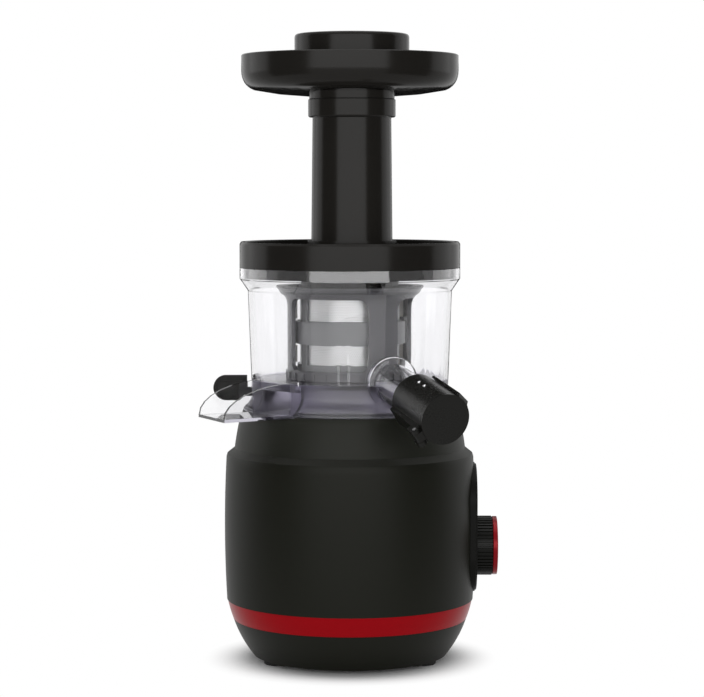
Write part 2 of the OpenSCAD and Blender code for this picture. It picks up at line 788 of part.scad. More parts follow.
module rotary_switch() color("#8a8a86") difference() {
    union() {
        translate([panel_face - panel_t - switch_depth, -switch_w / 2, knob_z - switch_w / 2])
            cube([switch_depth, switch_w, switch_w]);
        along_x(panel_face - panel_t, knob_z) cylinder(r = bushing_r, h = panel_t + 0.6);
        for (y = [-9, -3, 3, 9]) translate([panel_face - panel_t - switch_depth - 4, y - 2.4, knob_z - 9])
            cube([5, 4.8, 0.8]);
    }
    along_x(panel_face - panel_t - 11, knob_z) cylinder(r = switch_shaft_r + run_gap, h = 20);
}

module cord_bush() color("#1c1c1c") inlet_place() difference() {
    union() {
        cylinder(r = bush_flange_r, h = bush_flange_t);
        up(-bush_depth) cylinder(r = bush_r, h = bush_depth);
        up(-bush_depth) cylinder(r = bush_r + 1.5, h = 2.5);
    }
    up(-bush_depth - over) cylinder(r = cord_hole_r, h = bush_depth + bush_flange_t + 2 * over);
}

module control_board() color("#1f5c3a") {
    translate([-board[0] / 2, board_y - board[1] / 2, z_board]) cube(board);
    translate([0, board_y, z_board + board[2]]) {
        translate([-board[0] / 2 + 5, -transformer[1] / 2, 0]) cube(transformer);
        translate([4, 0, 0]) cylinder(r = capacitor[0], h = capacitor[1]);
        translate([board[0] / 2 - 4 - relay[0], -relay[1] / 2, 0]) cube(relay);
    }
}

module motor_can() color("#9b9c9e") difference() {
    union() {
        up(z_motor) ring(motor_r - can_wall, motor_r, motor_h);
        up(z_motor_top - can_floor) cylinder(r = motor_r - can_wall / 2, h = can_floor);
        up(z_motor_top - can_floor - bearing_seat)
            ring(small_bearing[1] + press_fit, small_bearing[1] + bearing_wall, bearing_seat);
    }
    up(z_motor_top - can_floor - over) cylinder(r = motor_shaft_r + 1, h = can_floor + 2 * over);
    for (az = motor_screw_az) rotate([0, 0, az])
        translate([motor_screw_ring, 0, z_motor_top - can_floor - over])
            cylinder(r = motor_screw_r + press_fit, h = can_floor + 2 * over);
    for (i = [0:5]) rotate([0, 0, i * 60]) translate([motor_r - 5, -6, z_motor + 5]) cube([10, 12, 7]);
}

module motor_magnets() color("#4c4c50") up(z_core - 2) for (az = [25, 205])
    sector(rotor_r + air_gap, motor_r - can_wall - press_fit, az, az + 130, rotor_h + 4);

module motor_end_bell() color("#b4b4b0") difference() {
    union() {
        up(z_bell) cylinder(r = motor_r, h = bell_t);
        up(z_motor) ring(motor_r - can_wall - snug - 2.5, motor_r - can_wall - snug, 3);
        up(z_bell) cylinder(r = small_bearing[1] + bearing_wall, h = bell_t + 4);
        for (az = [0, 180]) rotate([0, 0, az]) translate([12, -4.5, z_motor - over]) cube([13, 9, 12]);
    }
    up(z_bell + 2) cylinder(r = small_bearing[1] + press_fit, h = 6);
    up(z_bell - over) cylinder(r = motor_shaft_r + 1, h = 6);
    for (i = [0:5]) rotate([0, 0, 30 + i * 60]) translate([20, 0, z_bell - over])
        cylinder(r = 4.5, h = bell_t + 2 * over);
    translate([-30, -brush_w / 2 - snug, z_commutator + 1 - snug])
        cube([60, brush_w + 2 * snug, brush_w + 2 * snug]);
}

module carbon_brushes() color("#3a3a3a") for (az = [0, 180]) rotate([0, 0, az])
    translate([commutator_r + 0.2, -brush_w / 2, z_commutator + 1])
        cube([13, brush_w, brush_w]);

module motor_bearings() color("#c8c8ca")
    for (z = [z_bell + 2, z_motor_top - can_floor - small_bearing[2]])
        up(z) ring(motor_shaft_r + run_gap, small_bearing[1], small_bearing[2]);

module motor_screws() color("silver") for (az = motor_screw_az) rotate([0, 0, az])
    translate([motor_screw_ring, 0, z_box_floor]) mirror([0, 0, 1])
        screw(motor_screw_r, box_plate + can_floor + 1);

module gearbox_case() color("#b9bab6") difference() {
    union() {
        up(z_motor_top) cylinder(r = gearbox_r + shell_wall, h = box_plate);
        up(z_motor_top) ring(gearbox_r, gearbox_r + shell_wall, z_box_top - z_motor_top);
        box_screw_places() up(z_box_top - box_ear_h) cylinder(r = box_ear_r, h = box_ear_h);
        for (p = [first_pos, second_pos]) translate(p) up(z_box_floor)
            cylinder(r = axle_r + 1.6, h = gear_gap - 0.4);
    }
    up(z_box_floor) cylinder(r = gearbox_r, h = z_box_top - z_box_floor + over);
    up(z_motor_top - over) cylinder(r = motor_shaft_r + 1, h = box_plate + 2 * over);
    for (p = [first_pos, second_pos]) translate(p) up(z_motor_top + 0.8)
        cylinder(r = axle_r + run_gap, h = 10);
    for (az = motor_screw_az) rotate([0, 0, az]) translate([motor_screw_ring, 0, z_motor_top - over])
        cylinder(r = motor_screw_r + snug, h = 10);
    box_screw_places() up(z_box_top - 20) cylinder(r = box_screw_r + snug, h = 30);
}

module gearbox_cover() color("#c2c3bf") difference() {
    union() {
        up(z_box_top) cylinder(r = gearbox_r + shell_wall, h = box_plate);
        box_screw_places() up(z_box_top) cylinder(r = box_ear_r, h = box_plate);
        up(z_box_top) cylinder(r = large_bearing[1] + bearing_wall, h = z_deck_low - z_box_top);
        for (p = [first_pos, second_pos]) translate(p) up(z_out_top + 0.8)
            cylinder(r = axle_r + 1.4, h = z_box_top - z_out_top);
    }
    up(z_box_top - over) cylinder(r = output_shaft_r + 1.5, h = z_deck_low - z_box_top + 2 * over);
    up(z_box_top - over) cylinder(r = large_bearing[1] + press_fit, h = large_bearing[2] + over);
    up(z_deck_low - large_bearing[2]) cylinder(r = large_bearing[1] + press_fit, h = 20);
    for (p = [first_pos, second_pos]) translate(p) up(z_out_top)
        cylinder(r = axle_r + run_gap, h = z_box_top - z_out_top + box_plate - 0.5);
    box_screw_places() up(z_box_top - over) cylinder(r = box_screw_r + snug, h = 10);
}

module gearbox_screws() color("silver") up(z_box_top - box_ear_h) box_screw_places()
    screw(box_screw_r, box_screw_len);

module output_bearings() color("#c8c8ca") for (z = [z_box_top, z_deck_low - large_bearing[2]])
    up(z) ring(output_shaft_r + run_gap, large_bearing[1], large_bearing[2]);

module shaft_seal() color("#5c2a22") up(z_seal)
    ring(output_shaft_r + run_gap, seal_r, z_deck + seal_boss_h - z_seal);

// ---------------------------------------------------------------- drive train

module motor_shaft() color("#d0d0d2") {
    up(z_shaft_low) cylinder(r = motor_shaft_r, h = z_box_floor - z_shaft_low);
    up(z_box_floor) hexagon(motor_hex_r, z_first_top + 1 - z_box_floor);
}

module rotor_core() color("#6a6a6e") difference() {
    up(z_core) cylinder(r = rotor_r, h = rotor_h);
    up(z_core - over) cylinder(r = motor_shaft_r + press_fit, h = rotor_h + 2 * over);
    for (i = [0:rotor_slots - 1]) rotate([0, 0, i * 360 / rotor_slots])
        translate([14, -1.5, z_core - over]) cube([20, 3, rotor_h + 2 * over]);
}

module rotor_windings() color("#b06a34") for (z = [z_core - winding_h, z_core + rotor_h])
    up(z) ring(motor_shaft_r + press_fit, rotor_r - 3, winding_h);

module commutator() color("#c07a40") difference() {
    up(z_commutator) ring(motor_shaft_r + press_fit, commutator_r, commutator_h);
    for (i = [0:rotor_slots - 1]) rotate([0, 0, i * 360 / rotor_slots])
        translate([commutator_r - 1, -0.3, z_commutator - over]) cube([3, 0.6, commutator_h - 1]);
}

module cooling_fan() color("#2c2c2c") difference() {
    union() {
        up(z_fan + fan_h) cylinder(r = fan_r, h = fan_plate);
        up(z_fan) cylinder(r = fan_hub_r, h = fan_h);
        up(z_fan) for (i = [0:fan_blades - 1]) rotate([0, 0, i * 360 / fan_blades])
            translate([fan_hub_r - 1, -0.8, 0]) cube([fan_r - fan_hub_r, 1.6, fan_h]);
    }
    up(z_fan - over) cylinder(r = motor_shaft_r + press_fit, h = fan_h + fan_plate + 2 * over);
}

module motor_pinion() color("#d8c070") difference() {
    up(z_first - 0.5) gear(pinion_teeth, fine_module, first_face + 1, 0, fine_thin);
    up(z_first - over) hexagon(motor_hex_r + press_fit, first_face + 2 * over + 1);
}

// Two gears in one piece, with a hexagonal hole for their axle.
module stepped_gear(z_wheel, face, module_a, turn, z_pinion, pinion_h, module_b) difference() {
    union() {
        up(z_wheel) gear(wheel_teeth, module_a, face, turn, fine_thin);
        up(z_pinion) gear(pinion_teeth, module_b, pinion_h, 0, fine_thin);
    }
    up(z_wheel - over) hexagon(hex_axle_r + press_fit, face + pinion_h + 2 * over);
}

module first_gear() color("#e8e2d0") translate(first_pos)
    stepped_gear(z_first, first_face, fine_module,
        mesh_turn(heading([0, 0], first_pos), 0, pinion_teeth, wheel_teeth),
        z_first_top, gear_gap + second_face + 1, fine_module);

module second_gear() color("#e8e2d0") translate(second_pos)
    stepped_gear(z_second, second_face, fine_module,
        mesh_turn(heading(first_pos, second_pos), 0, pinion_teeth, wheel_teeth),
        z_second_top, gear_gap + output_face + 0.5, output_module);

module output_gear() color("#d6d6d8") difference() {
    up(z_out) gear(output_teeth, output_module, output_face,
        mesh_turn(heading(second_pos, [0, 0]), 0, pinion_teeth, output_teeth), fine_thin);
    up(z_out - over) hexagon(output_hex_r + press_fit, output_face + 2 * over);
}

// An axle that turns with its gear: hexagonal in the gear, round at both ends.
module gear_axle(z_hex, hex_h) {
    up(z_motor_top + 0.9) cylinder(r = axle_r, h = z_hex - z_motor_top - 0.9);
    up(z_hex) hexagon(hex_axle_r, hex_h);
    up(z_hex + hex_h) cylinder(r = axle_r, h = z_box_cover - 0.6 - z_hex - hex_h);
}

module first_axle() color("silver") translate(first_pos)
    gear_axle(z_first, first_face + gear_gap + second_face + 1);

module second_axle() color("silver") translate(second_pos)
    gear_axle(z_second, second_face + gear_gap + output_face + 0.5);

module output_shaft() color("#d0d0d2") {
    up(z_out - 1) hexagon(output_hex_r, output_face + 2);
    up(z_out_top + 1) cylinder(r = output_shaft_r, h = z_drive_hex - z_out_top - 1);
    up(z_drive_hex) hexagon(drive_hex_r, z_drive_top - z_drive_hex);
}

// ---------------------------------------------------------------- control knob

module switch_shaft() color("silver")
    along_x(panel_face - panel_t - 10.5, knob_z)
        cylinder(r = switch_shaft_r, h = panel_t + 10.5 + knob_len - 3.5);

module switch_knob() color("#1b1b1b") difference() {
    base = panel_face - knob_recess + seam;
    length = knob_len + knob_recess - seam;
    step = 360 / knob_ribs;
    along_x(base, knob_z) linear_extrude(length)
        polygon([for (i = [0:knob_ribs - 1], k = [0:3])
            let (a = step * (i + [0, 0.45, 0.55, 0.9][k]), r = knob_r - (k < 2 ? 0 : rib_depth))
            r * [cos(a), sin(a)]]);
    along_x(base - over, knob_z) ring(switch_shaft_r + 3, knob_r - 3, length - 3 + over);
    along_x(base - over, knob_z) cylinder(r = bushing_r + 0.5, h = knob_recess + 1.5 + over);
    along_x(base - over, knob_z) cylinder(r = switch_shaft_r + press_fit, h = length - 3 + over);
    along_x(base + length - cap_spigot_h, knob_z) cylinder(r = cap_spigot_r + snug, h = 5);
}

module knob_cap() color("#a8121e") along_x(panel_face + knob_len, knob_z) {
    turned(concat([[0, 0], [knob_r - cap_inset, 0]],
        bow([knob_r - cap_inset, knob_cap_t - cap_crown], [0, knob_cap_t], 0.3)));
    up(-cap_spigot_h + snug) cylinder(r = cap_spigot_r, h = cap_spigot_h - snug);
}

// ---------------------------------------------------------------- juicing bowl

// Chute frame: +X along the chute, Y measured from the chute's middle line.
module chute_place() rotate([0, 0, chute_az]) translate([0, chute_shift, z_chute]) children();
// Spout frame: +Z along the spout from its root, +X downwards.
module spout_place() rotate([0, 0, spout_az]) translate([chamber_r, 0, z_bowl + spout_rise])
    rotate([0, 90 + spout_slope, 0]) children();
// Lever frame: origin at the lever's pivot, +X outwards.
module lever_place() rotate([0, 0, lever_az]) translate([lever_pivot_r, 0, 0]) children();
module idler_place() rotate([0, 0, idler_az]) translate([idler_dist, 0, 0]) children();

module chamber_space() turned([[0, z_floor], [chamber_r - bowl_wall, z_floor],
    [chamber_top_r - bowl_wall, z_rim - rim_band_h - rim_flare_h],
    [bowl_rim_r - bowl_wall, z_rim - rim_band_h], [bowl_rim_r - bowl_wall, z_rim + over],
    [0, z_rim + over]]);

module chute_side(side) {
    start = [chute_root, side * chute_w / 2];
    end = [chute_reach + side * lip_slant / 2, side * chute_lip_w / 2];
    length = norm(end - start);
    translate(start) rotate([0, 0, heading(start, end)]) translate([0, side > 0 ? chute_wall : 0, 0])
        rotate([90, 0, 0]) linear_extrude(chute_wall)
            polygon(concat([[0, 0]], quarter(length, chute_side_h)));
}

module juicing_bowl() color([0.62, 0.6, 0.68, 0.45]) difference() {
    side = concat([[bowl_foot_r, z_bowl], [bowl_foot_r - 0.3, z_bowl + skirt_h / 2]],
        bow([bowl_skirt_r, z_bowl + skirt_h], [chamber_r, z_bowl + skirt_h + flare_h], -1.5),
        [[chamber_top_r, z_rim - rim_band_h - rim_flare_h],
         [bowl_rim_r, z_rim - rim_band_h], [bowl_rim_r, z_rim]]);
    union() {
        turned(band(side, bowl_wall));
        up(z_floor - floor_t) cylinder(r = chamber_r - bowl_wall / 2, h = floor_t);
        up(column_low) ring(column_in_r, column_r, z_floor - column_low - 1);
        up(z_bowl) ring(spigot_r - spigot_wall, bowl_foot_r - bowl_wall / 2, 2.4);
        up(z_bowl - spigot_h) ring(spigot_r - spigot_wall, spigot_r, spigot_h + 1);
        translate([-key_w / 2, spigot_r - 1, z_bowl - spigot_h]) cube([key_w, 2.4, spigot_h + 1]);
        idler_place() up(z_floor - floor_t - idler_boss_h) cylinder(r = 5, h = idler_boss_h + 1);
        lever_place() up(z_stud) cylinder(r = lever_stud_r, h = z_floor - floor_t + 1 - z_stud);
        chute_place() difference() {
            translate([8, -chute_w / 2 - chute_wall, -chute_wall])
                cube([chute_root - 6, chute_w + 2 * chute_wall, z_floor - 1 - z_chute + chute_wall]);
            translate([0, -chute_shift, -over - chute_wall]) cylinder(r = column_r - 1, h = 40);
        }
        chute_place() up(-chute_wall) linear_extrude(chute_wall)
            polygon([[chute_root - 6, -chute_w / 2 - chute_wall],
                [chute_reach - lip_slant / 2, -chute_lip_w / 2 - chute_wall],
                [chute_reach + lip_slant / 2, chute_lip_w / 2 + chute_wall],
                [chute_root - 6, chute_w / 2 + chute_wall]]);
        chute_place() for (side = [-1, 1]) chute_side(side);
        spout_place() up(-trough_len - 3) cylinder(r = spout_r, h = tube_end + trough_len + 3);
        spout_place() up(-8) cylinder(r = spout_boss_r, h = 8 + spout_boss_t);
    }
    chamber_space();
    spout_place() up(-trough_len) cylinder(r = spout_r - spout_wall, h = trough_len + tube_end + over);
    chute_place() difference() {
        translate([8, -chute_w / 2, 0]) cube([72, chute_w, chute_h]);
        translate([0, -chute_shift, -over]) cylinder(r = column_r, h = 40);
    }
    sector(outlet_r[0], outlet_r[1], outlet_az[0], outlet_az[1], z_floor + over);
    up(column_low - over) cylinder(r = column_in_r, h = z_floor - floor_t - column_low + over);
    cylinder(r = gasket_r, h = z_floor + over);
    chute_place() translate([plug_pos - plug_size[0] / 2, -plug_size[1] / 2, -chute_wall - over])
        cube([plug_size[0], plug_size[1], chute_wall + 2 * over]);
    idler_place() up(z_floor - floor_t - idler_boss_h + 1)
        cylinder(r = idler_axle_r + run_gap, h = 20);
    for (az = tab_az) up(z_floor - tab_h - 0.2)
        sector(strainer_foot_in_r - seam, strainer_foot_r + seam, az - tab_w / 2 - 1,
            az + tab_w / 2 + 1, 10);
    lever_place() translate([chamber_r - lever_pivot_r - bowl_wall - 2, -lever_slot, z_lever - seam])
        cube([18, lever_slot + lever_t / 2 + 1, lever_arm_h + 2 * seam]);
    for (az = lug_az) up(z_lug - seam) {
        sector(lid_skirt_r - 1, lid_skirt_r + lug_out + seam, az - lug_w / 2 - 1,
            az + lid_turn + lug_w / 2 + 2, lug_h + 2 * seam);
        up(1) sector(lid_skirt_r - 1.5, lid_skirt_r + lug_out + 2 * seam,
            az + lid_turn - lug_w / 2 - 1, az + lid_turn + lug_w / 2 + 1, 20);
    }
}

module bowl_gasket() color("#d8d4cc") up(z_floor - floor_t - 1.5) {
    ring(stem_r + run_gap, gasket_r, floor_t + 1.5);
    ring(stem_r + run_gap, gasket_r + 2, 1.5);
}

module pulp_plug() color("#d8d4cc") chute_place() {
    translate([plug_pos - plug_size[0] / 2 + snug, -plug_size[1] / 2 + snug, -chute_wall])
        cube([plug_size[0] - 2 * snug, plug_size[1] - 2 * snug, chute_wall]);
    translate([plug_pos - plug_size[0] / 2 - 2, -plug_size[1] / 2 - 2, -chute_wall - 1.2])
        cube([plug_size[0] + 4, plug_size[1] + 4, 1.2]);
}

module lever_clip() color("silver") lever_place() up(z_stud)
    ring(lever_stud_r, lever_stud_r + 2.6, 1.2);

module pulp_lever() color("#1d1d1d") lever_place() difference() {
    union() {
        up(z_stud + 1.5) cylinder(r = lever_hub_r, h = z_floor - floor_t - 0.4 - z_stud - 1.5);
        translate([0, -lever_t / 2, z_lever]) cube([lever_paddle_x + 2, lever_t, lever_arm_h]);
        translate([-8, -2, z_lever]) cube([8, 4, lever_arm_h]);
        translate([0, lever_t / 2, 0]) rotate([90, 0, 0]) linear_extrude(lever_t) paddle_outline(0);
    }
    up(z_stud) cylinder(r = lever_stud_r + run_gap, h = 30);
    for (y = [-lever_t / 2 - over, lever_t / 2 - paddle_groove])
        translate([0, y + paddle_groove + over, 0]) rotate([90, 0, 0])
            linear_extrude(paddle_groove + over) difference() {
                paddle_outline(groove_inset);
                paddle_outline(groove_inset + groove_w);
            }
}

// Side view of the lever's paddle, drawn smaller by inset all round.
module paddle_outline(inset) {
    r = paddle_h / 2;
    translate([lever_len - r, z_paddle + r]) circle(r = r - inset);
    polygon([[lever_paddle_x + inset, z_paddle + paddle_h - inset],
        [lever_paddle_x + inset, z_lever + lever_arm_h / 2], [lever_paddle_x + 6 + inset, z_paddle + inset],
        [lever_len - r, z_paddle + inset], [lever_len - r, z_paddle + paddle_h - inset]]);
}

// ---------------------------------------------------------------- juice spout

// Turns the spout frame so that +X points from the tube to the hinge.
module hinge_place() spout_place() rotate([0, 0, hinge_turn]) children();

module spout_sleeve() color("#20211d") difference() {
    union() {
        spout_place() up(cap_face - seam - sleeve_len) cylinder(r = sleeve_r, h = sleeve_len);
        hinge_place() translate([sleeve_r - 4, -pad_w / 2, cap_face - sleeve_len + 1])
            cube([4 + pad_rise, pad_w, sleeve_len - 8]);
        hinge_place() for (y = [-1, 1]) translate([0, y * ear_pos - ear_w / 2, 0]) {
            translate([sleeve_r - 3, 0, cap_face - 16]) cube([5.4, ear_w, 16 - seam]);
            translate([hinge_x, ear_w, cap_face]) rotate([90, 0, 0]) cylinder(r = knuckle_r, h = ear_w);
            translate([hinge_x - 2, 0, cap_face - 6]) cube([2 + knuckle_r, ear_w, 6]);
        }
    }
    spout_place() up(cap_face - sleeve_len - 20) cylinder(r = spout_r + press_fit, h = sleeve_len + 40);
    hinge_place() translate([hinge_x, 20, cap_face]) rotate([90, 0, 0])
        cylinder(r = hinge_pin_r + press_fit, h = 40);
}

module cap_hinge_pin() color("silver") hinge_place()
    translate([hinge_x, ear_pos + ear_w / 2, cap_face]) rotate([90, 0, 0])
        cylinder(r = hinge_pin_r, h = 2 * ear_pos + ear_w);

module juice_cap() color("#20211d") hinge_place() difference() {
    knuckle_w = 2 * ear_pos - ear_w - 2 * seam;
    union() {
        up(cap_face) cylinder(r = sleeve_r, h = cap_t);
        up(cap_face - plug_depth) cylinder(r = cap_plug_r, h = plug_depth);
        translate([hinge_x, knuckle_w / 2, cap_face]) rotate([90, 0, 0])
            cylinder(r = knuckle_r - 0.2, h = knuckle_w);
        translate([sleeve_r - 3, -knuckle_w / 2, cap_face + 0.4])
            cube([hinge_x - sleeve_r + 3, knuckle_w, knuckle_r - 0.6]);
        rotate([0, 0, 180 + latch_turn]) translate([0, latch_w / 2, 0]) rotate([90, 0, 0])
            linear_extrude(latch_w) latch_outline();
    }
    translate([hinge_x, 20, cap_face]) rotate([90, 0, 0])
        cylinder(r = hinge_pin_r + run_gap, h = 40);
}

// Side view of the latch: a strip along the sleeve that bends over the cap's edge.
module latch_outline() {
    r_in = sleeve_r + latch_gap;
    r_out = r_in + latch_t;
    z_end = cap_face + cap_t;
    polygon([[r_in, cap_face - latch_len], [r_out, cap_face - latch_len + 1],
        [r_out, z_end - latch_edge], [r_out - latch_edge, z_end], [sleeve_r - 3, z_end],
        [sleeve_r - 3, cap_face], [r_in, cap_face]]);
}

module cap_seal() color("#d8d4cc") hinge_place() up(cap_face - seal_t)
    ring(cap_plug_r, spout_r - 0.2, seal_t);

// ---------------------------------------------------------------- strainer, brush and auger

module strainer_frame() color("#b8b8b4") difference() {
    base_in_r = auger_pitch_r + bowl_module * tooth_tip + 0.8;
    z_rim_ring = z_strainer_top - rim_ring_h;
    union() {
        turned([[base_in_r, z_strainer_base], [strainer_r, z_strainer_base],
            [strainer_r, z_band], [band_r, z_band], [band_r, z_band + band_h],
            [strainer_r, z_band + band_h], [strainer_r, z_rim_ring], [band_r, z_rim_ring],
            [band_r, z_strainer_top], [strainer_in_r, z_strainer_top],
            [strainer_in_r, z_strainer], [base_in_r, z_strainer]]);
        up(z_floor) sector(strainer_foot_in_r, strainer_foot_r, idler_az + idler_window / 2,
            idler_az - idler_window / 2 + 360, z_strainer_base - z_floor + 1);
        for (az = tab_az) up(z_floor - tab_h) sector(strainer_foot_in_r + 0.2, strainer_foot_r - 0.2,
            az - tab_w / 2, az + tab_w / 2, tab_h + 1);
        up(z_floor + 0.2) sector(outlet_r[0] - 1.5, strainer_foot_in_r + 1, outlet_az[0] - 3,
            outlet_az[1] + 3, z_strainer_base - z_floor + 0.8);
    }
    sector(outlet_r[0], outlet_r[1], outlet_az[0], outlet_az[1], z_strainer + over);
    idler_place() up(z_strainer_base - over) cylinder(r = idler_axle_r + run_gap, h = 10);
    for (i = [0:window_count - 1], row = window_rows)
        up(row[0]) sector(strainer_in_r - over, strainer_r + over,
            window_az + window_rib / 2 + i * 360 / window_count,
            window_az - window_rib / 2 + (i + 1) * 360 / window_count, row[1] - row[0]);
}

module strainer_mesh() color("#e6e6e4") difference() {
    up(z_strainer) ring(strainer_in_r - mesh_t, strainer_in_r - press_fit,
        z_strainer_top - rim_ring_h - z_strainer);
    for (i = [0:mesh_slots - 1], row = window_rows) rotate([0, 0, i * 360 / mesh_slots])
        translate([strainer_in_r - 3, -1, row[0] + 1]) cube([5, 2, row[1] - row[0] - 2]);
}

module idler_gear() color("#e8e2d0") idler_place() difference() {
    up(z_bowl_gear) rotate([0, 0, -idler_az])
        gear(idler_teeth, bowl_module, bowl_gear_face, idler_turn, bowl_thin);
    up(z_bowl_gear - over) hexagon(idler_hex_r + press_fit, bowl_gear_face + 2 * over);
}

module idler_axle() color("silver") idler_place() {
    up(z_floor - floor_t - idler_boss_h + 1.3)
        cylinder(r = idler_axle_r, h = z_bowl_gear - z_floor + floor_t + idler_boss_h - 1.3);
    up(z_bowl_gear) hexagon(idler_hex_r, bowl_gear_face);
    up(z_bowl_gear_top) cylinder(r = idler_axle_r, h = z_strainer - 0.4 - z_bowl_gear_top);
}

module brush_frame() color([0.3, 0.3, 0.33, 0.85]) difference() {
    turned([[auger_pitch_r, z_bowl_gear], [brush_ring_r, z_bowl_gear],
        [brush_ring_r, z_bowl_gear_top], [brush_leg_r, z_bowl_gear_top], [brush_leg_r, z_flange],
        [brush_leg_r + 2.5, z_flange + 1], [brush_leg_r + 2.5, z_flange + flange_step],
        [brush_flange_r, z_flange + flange_step], [brush_flange_r, z_flange + flange_step + flange_h],
        [brush_leg_r, z_flange + flange_step + flange_h], [brush_leg_r, z_flange + flange_step],
        [brush_in_r, z_flange + flange_step], [brush_in_r, z_bowl_gear_top],
        [auger_pitch_r, z_bowl_gear_top]]);
    for (i = [0:len(leg_az) - 1]) {
        next = i + 1 < len(leg_az) ? leg_az[i + 1] : leg_az[0] + 360;
        up(z_bowl_gear_top + 0.5) sector(brush_in_r - 1, brush_leg_r + 1, leg_az[i] + leg_span / 2,
            next - leg_span / 2, z_flange - z_bowl_gear_top - 1);
    }
    up(z_bowl_gear - over) rotate([0, 0, ring_turn]) linear_extrude(bowl_gear_face + 2 * over)
        polygon(gear_points(ring_teeth, bowl_module, tooth_root, tooth_tip, -bowl_thin));
    up(z_bowl_gear - over) for (i = [0:notch_count - 1]) rotate([0, 0, i * 360 / notch_count])
        translate([brush_ring_r - notch_depth, -2.3, 0]) cube([5, 4.6, bowl_gear_face - 1 + over]);
}

module brush_wipers() color("#8f8f96") for (az = leg_az, row = window_rows)
    up(row[0] + 1) sector(strainer_r + seam, brush_in_r - press_fit,
        az - wiper_angle / 2, az + wiper_angle / 2, row[1] - row[0] - 2);

module auger_screw() color("#d9d6cc") {
    turned([[0, z_auger], [flight_r - 1, z_auger], [flight_r - 1, z_auger + 2],
        [auger_core_r + 5, z_auger + auger_base_h], [0, z_auger + auger_base_h]]);
    up(z_auger + auger_base_h)
        linear_extrude(z_flight_top - z_auger - auger_base_h, twist = -flight_turn,
            slices = ceil(flight_turn / 10)) {
            circle(r = auger_core_r, $fn = 24);
            intersection() {
                circle(r = flight_r, $fn = 60);
                square([3 * flight_r, blade_w], center = true);
            }
        }
    up(z_flight_top) cylinder(r1 = auger_core_r - 1, r2 = top_pin_r + 2, h = z_pin_foot - z_flight_top);
    up(z_pin_foot) cylinder(r = top_pin_r, h = z_pin_top - z_pin_foot);
}

module auger_gear() color("#c9b98c") difference() {
    up(z_bowl_gear) gear(auger_teeth, bowl_module, bowl_gear_face, 0, bowl_thin);
    up(z_bowl_gear - over) hexagon(auger_hex_r + press_fit, bowl_gear_face + 2 * over);
}

module auger_stem() color("silver") difference() {
    union() {
        up(stem_low) cylinder(r = stem_r, h = z_bowl_gear - stem_low);
        up(z_bowl_gear) hexagon(auger_hex_r, z_auger - z_bowl_gear);
    }
    up(stem_low - over) hexagon(drive_hex_r + socket_gap, z_drive_top + 1 - stem_low + over);
}

// ---------------------------------------------------------------- lid, tray and pusher

module tube_place() translate(tube_pos) children();
module slope_place() rotate([0, 0, tube_az]) translate([tube_offset, 0, z_plate])
    rotate([0, slope_angle, 0]) up(-60) children();

module lid() color("#33312e") {
    difference() {
        union() {
            turned([[lid_skirt_r - lid_wall, z_rim - lid_skirt_h], [lid_skirt_r, z_rim - lid_skirt_h],
                [lid_skirt_r, z_lid], [bowl_rim_r, z_lid], [bowl_rim_r, z_lid_top - 1.6],
                [bowl_rim_r - 1, z_lid_top], [bowl_rim_r - lid_wall + 0.7, z_lid_top],
                [bowl_rim_r - lid_wall, z_lid_top - 0.8], [bowl_rim_r - lid_wall, z_plate],
                [lid_skirt_r - lid_wall, z_plate]]);
            up(z_plate) cylinder(r = bowl_rim_r - 1, h = plate_t);
            up(z_tube) tube_place() cylinder(r = tube_foot_r + snug + tube_boss_w, h = tube_boss_h);
            up(z_throat) cylinder(r = throat_r, h = z_plate + 1 - z_throat);
            intersection() {
                slope_place() cylinder(r = slope_r + throat_wall, h = 60);
                up(z_flange + flange_step + flange_h + 1.2) cylinder(r = lid_skirt_r - 4, h = z_plate + 1
                    - z_flange - flange_step - flange_h - 1.2);
            }
            for (az = lug_az) up(z_lug)
                sector(lid_skirt_r - 1, lid_skirt_r + lug_out, az - lug_w / 2, az + lug_w / 2, lug_h);
        }
        up(z_throat - over) cylinder(r = throat_r - throat_wall, h = 8 + over);
        cylinder(r = top_pin_r + run_gap, h = z_pin_top + 1);
        slope_place() cylinder(r = slope_r, h = 60);
        tube_place() up(z_plate - 3) cylinder(r = tube_bore_r, h = 30);
        tube_place() up(z_tube) cylinder(r = tube_foot_r + snug, h = 30);
        up(z_lid - over) ring(gasket_in_r, gasket_out_r, gasket_t + over);
    }
    up(z_pin_foot + 1) ring(top_pin_r + run_gap, top_pin_r + 2.4, z_plate + 1 - z_pin_foot - 1);
}

module lid_gasket() color("#c9c5bd") up(z_lid) ring(gasket_in_r, gasket_out_r, gasket_t);

module feed_tube() color("#33312e") tube_place() {
    z_top = z_tube + tube_h;
    turned([[tube_bore_r, z_tube], [tube_foot_r, z_tube], [tube_foot_r, z_tube + tube_boss_h],
        [tube_top_r, z_collar], [collar_r - 0.6, z_collar], [collar_r, z_collar + 0.8],
        [collar_r, z_top], [socket_r, z_top], [socket_r, z_top - socket_depth],
        [tube_bore_r, z_top - socket_depth]]);
}

